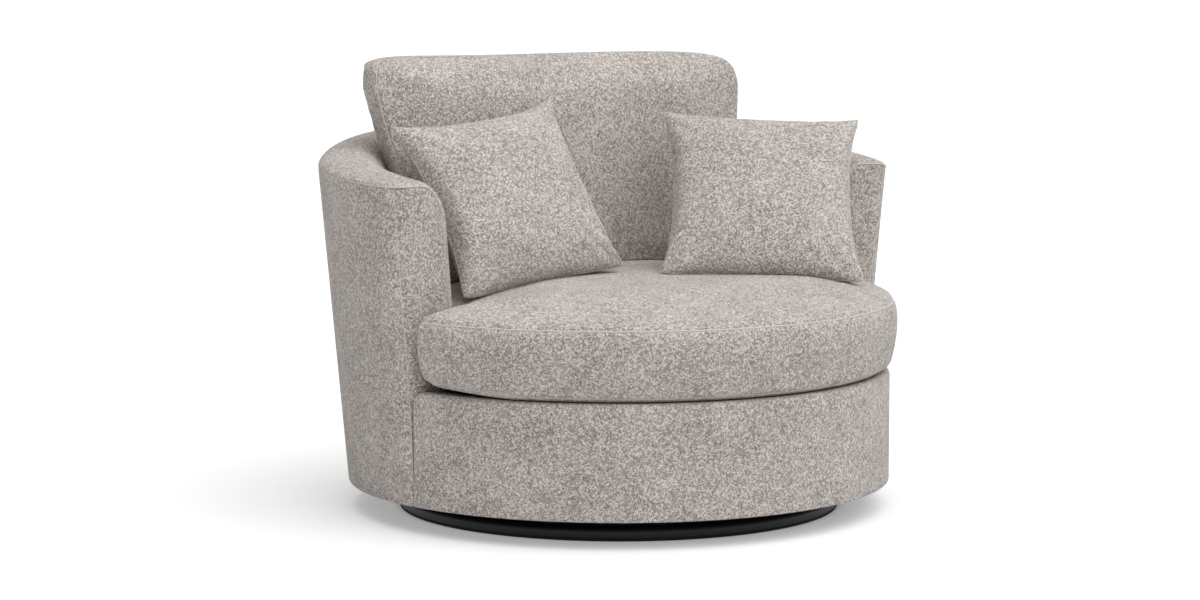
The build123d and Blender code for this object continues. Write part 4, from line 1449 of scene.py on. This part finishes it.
@dataclass
class Pillow:
    """A square knife-edge pillow that leans on the back cushion."""

    name: str
    body: Body
    # Its middle, and the angles that turn it about the upright, tip it back and roll it in its own plane.
    place: tuple[float, float, float]
    turn: float
    lean: float
    roll: float
    size: float
    thickness: float = 144.0
    # How far the edges draw in between the corners, how far the lower one does, and the corners themselves.
    draw: float = 23.0
    foot_draw: float = 3.0
    blunt: float = 6.0
    count: int = 60
    cord_radius: float = 1.2
    fold: float = 2.2
    # Where the corner folds lie in from the corner, their length, their spread and the width of one fold.
    fold_at: float = 60.0
    fold_length: float = 45.0
    fold_spread: float = 40.0
    fold_pitch: float = 34.0
    filling: Inflation = field(
        default_factory=lambda: Inflation(frames=12, reach_mm=8.0, voxel_mm=5.0, smoothing=3)
    )

    def axes(self) -> Array:
        """Find the pillow's own directions.

        Returns:
            Its width, height and facing directions as rows.
        """
        turn, lean, roll = (math.radians(v) for v in (self.turn, self.lean, self.roll))
        facing = np.array([math.sin(turn) * math.cos(lean), -math.cos(turn) * math.cos(lean), math.sin(lean)])
        along = np.array([math.cos(turn), math.sin(turn), 0.0])
        up = np.cross(facing, along)
        width = along * math.cos(roll) + up * math.sin(roll)
        return np.array([width, np.cross(facing, width), facing])

    def shares(self) -> Array:
        """Return the places of the threads across a sheet, closer together at its edges."""
        even = np.linspace(-1.0, 1.0, self.count + 1)
        return 0.55 * even + 0.45 * np.sin(even * math.pi / 2)

    def sheet(self, wide: Array, tall: Array) -> tuple[Array, Array, Array]:
        """Find points of the front sheet.

        Args:
            wide: Shares across the sheet, from -1 to 1.
            tall: Shares up the sheet, from -1 to 1.

        Returns:
            Distances across and upward from the middle, and the height of the air under the sheet.
        """
        half = self.size / 2 - self.blunt * np.abs(wide * tall) ** 9
        across = wide * (half - self.draw * (1 - np.abs(tall) ** 2.8))
        drawn = np.where(tall < 0, self.foot_draw, self.draw)
        upward = tall * (half - drawn * (1 - np.abs(wide) ** 2.8))
        air = self.thickness / 2 * ((1 - np.abs(wide) ** 2.5) * (1 - np.abs(tall) ** 2.5)) ** 0.6
        return across, upward, air

    def seam_path(self) -> Array:
        """Find the closed seam round the sheet's edge.

        Returns:
            The path in the pillow's own axes.
        """
        run = self.shares()[:-1]
        ones = np.ones(len(run))
        wide = np.concatenate([run, ones, -run, -ones])
        tall = np.concatenate([-ones, run, ones, -run])
        return np.column_stack(self.sheet(wide, tall))

    def cut_sheets(self) -> Piece:
        """Sew two square sheets together at their edges.

        Returns:
            The flat cover, with a little air in it.
        """
        share = self.shares()
        wide, tall = np.meshgrid(share, share)
        across, upward, air = self.sheet(wide, tall)
        front = draped_grid(self.name, np.stack([across, upward, air], axis=-1))
        back = draped_grid(f"{self.name}_rear", np.stack([across, upward, -air], axis=-1))
        pick_only(front)
        back.select_set(True)
        bpy.ops.object.join()
        tidy_mesh(front)
        return front

    def build(self, shop: Workshop, rests_on: Sequence[Piece]) -> Piece:
        """Sew, fill, place and dress the pillow.

        Args:
            shop: The workshop that dresses it.
            rests_on: Pieces that it must not enter.

        Returns:
            The pillow.
        """
        piece = self.cut_sheets()
        self.filling.run(piece)
        points = read_points(piece) / MM
        points -= (points.min(axis=0) + points.max(axis=0)) / 2
        extent = points.max(axis=0) - points.min(axis=0)
        points *= np.array([self.size, self.size, self.thickness]) / extent
        points[:, 2] += self.corner_folds(points)
        write_points(piece, (points @ self.axes() + np.array(self.place)) * MM)
        keep_clear(piece, rests_on, REST_GAP_MM)
        nodes = [f"{self.body.value}_{layer}" for layer in ("cover", "fill")]
        shop.dress(piece, self.body, stands_for=nodes)
        placed = even_path(self.seam_path(), 4.0) @ self.axes() + np.array(self.place)
        shop.sew(f"{self.name}_seam", settle(placed, piece, 0.5), self.cord_radius, self.body, True)
        return piece

    def corner_folds(self, points: Array) -> Array:
        """Return the height of the soft folds that run in from each corner.

        Args:
            points: Points of the filled pillow in its own axes.

        Returns:
            Offsets along the facing direction, which fade at the edge and towards the middle.
        """
        half = self.size / 2
        along = half * math.sqrt(2.0) - (np.abs(points[:, 0]) + np.abs(points[:, 1])) / math.sqrt(2.0)
        across = (np.abs(points[:, 0]) - np.abs(points[:, 1])) / math.sqrt(2.0)
        lengthwise = np.exp(-(((along - self.fold_at) / self.fold_length) ** 2))
        fade = lengthwise * np.exp(-((across / self.fold_spread) ** 2))
        return self.fold * fade * np.cos(math.tau * across / self.fold_pitch) * np.sign(points[:, 2])


@dataclass
class Studio:
    """White floor, soft overhead light and the camera, placed in metres."""

    camera_at: tuple[float, float, float] = (-3.4975, -5.5971, 1.1713)
    aim: tuple[float, float, float] = (-0.0307, 0.0192, 0.3924)
    lens: float = 103.44
    sensor: float = 36.0
    far_clip: float = 500.0
    floor_size: float = 400.0
    floor_white: float = 0.72
    floor_lift: float = 0.33
    # Radii in metres between which the floor's added white comes in. Inside them it is left out, so the floor
    # under and round the ring is darker by its material: a painted shadow over the rendered one.
    painted_shadow_radii: tuple[float, float] = (0.40, 0.44)
    sky: float = 0.44
    sun: float = 2.45
    sun_tilt: tuple[float, float, float] = (22.0, 9.0, 0.0)
    sun_spread: float = 80.0

    def build(self) -> None:
        """Set up the floor, the light, the camera and the plain view settings."""
        self.lay_floor()
        self.light()
        self.aim_camera()
        bpy.context.scene.view_settings.view_transform = "Standard"

    def lay_floor(self) -> None:
        """Lay a white floor that reads as white further out and is darker under the chair, where its added
        white is left out as a painted shadow.
        """
        bpy.ops.object.select_all(action="DESELECT")
        bpy.ops.mesh.primitive_plane_add(size=self.floor_size, location=(0.0, 0.0, 0.0))
        floor = bpy.context.object
        floor.name = "studio_floor"
        material, tree, where = start_material("studio_floor")
        paint = add_node(tree, "ShaderNodeBsdfDiffuse", {"Color": (self.floor_white,) * 3 + (1.0,)})
        rays = add_node(tree, "ShaderNodeLightPath").outputs
        seen = rays["Is Camera Ray"]
        for kind in ("Is Glossy Ray", "Is Transmission Ray"):
            seen = add_node(tree, "ShaderNodeMath", {0: seen, 1: rays[kind]}, operation="MAXIMUM").outputs[0]
        from_axis = add_node(tree, "ShaderNodeVectorMath", {0: where}, operation="LENGTH").outputs["Value"]
        # The added white is left out under the chair, which paints a shadow there on the floor.
        levels = {"Value": from_axis, **ends(self.painted_shadow_radii, (0.0, self.floor_lift))}
        outside = add_node(tree, "ShaderNodeMapRange", levels, interpolation_type="SMOOTHSTEP").outputs[0]
        strength = add_node(tree, "ShaderNodeMath", {0: seen, 1: outside}, operation="MULTIPLY").outputs[0]
        glow = add_node(tree, "ShaderNodeEmission", {"Color": (1.0, 1.0, 1.0, 1.0), "Strength": strength})
        both = add_node(tree, "ShaderNodeAddShader", {0: paint.outputs[0], 1: glow.outputs[0]})
        close_material(tree, both)
        floor.data.materials.append(material)

    def light(self) -> None:
        """Light the chair with an even sky and one wide lamp overhead."""
        world = bpy.data.worlds.new("studio_sky")
        world.use_nodes = True
        world.node_tree.nodes["Background"].inputs["Color"].default_value = (1.0, 1.0, 1.0, 1.0)
        world.node_tree.nodes["Background"].inputs["Strength"].default_value = self.sky
        bpy.context.scene.world = world
        bpy.ops.object.select_all(action="DESELECT")
        tilt = tuple(math.radians(v) for v in self.sun_tilt)
        bpy.ops.object.light_add(type="SUN", location=(0.0, 0.0, 4.0), rotation=tilt)
        lamp = bpy.context.object
        lamp.name = "overhead_lamp"
        lamp.data.energy = self.sun
        lamp.data.angle = math.radians(self.sun_spread)

    def aim_camera(self) -> None:
        """Put the camera where the photograph was taken from."""
        bpy.ops.object.select_all(action="DESELECT")
        towards = Vector(self.aim) - Vector(self.camera_at)
        turn = towards.to_track_quat("-Z", "Y").to_euler()
        bpy.ops.object.camera_add(location=self.camera_at, rotation=turn)
        camera = bpy.context.object
        camera.name = "studio_camera"
        camera.data.lens = self.lens
        camera.data.sensor_width = self.sensor
        camera.data.clip_end = self.far_clip
        camera.data.dof.use_dof = False
        bpy.context.scene.camera = camera


class SwivelChair:
    """The whole chair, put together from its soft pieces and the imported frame."""

    def __init__(self) -> None:
        """Set up the sub-assemblies."""
        self.barrel = Barrel()
        self.front = FrontPanel()
        self.deck = SeatDeck()
        self.dust = DustCover()
        self.seat = SeatCushion()
        self.back = BackCushion()
        self.left = Pillow(
            name="left_pillow_soft",
            body=Body.LEFT_PILLOW,
            place=(-217.8, 46.8, 598.4),
            turn=0.0,
            lean=32.2,
            roll=7.3,
            size=370.0,
        )
        self.right = Pillow(
            name="right_pillow_soft",
            body=Body.RIGHT_PILLOW,
            place=(262.0, -102.0, 590.0),
            turn=-27.8,
            lean=41.0,
            roll=-3.4,
            size=386.0,
        )

    def build(self, shop: Workshop) -> None:
        """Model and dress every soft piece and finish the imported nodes.

        Args:
            shop: The workshop that dresses them.
        """
        shop.dress_frame()
        inside = self.barrel.build(shop)
        self.front.build(shop)
        self.deck.build(shop)
        self.dust.build(shop)
        seat = self.seat.build(shop)
        back = self.back.build(shop, [seat, inside])
        for pillow in (self.left, self.right):
            pillow.build(shop, [seat, back])


def main() -> None:
    """Build the chair in its studio."""
    logging.basicConfig(level=logging.INFO, format="%(name)s: %(message)s")
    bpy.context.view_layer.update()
    SwivelChair().build(Workshop())
    Studio().build()


if __name__ == "__main__":
    main()
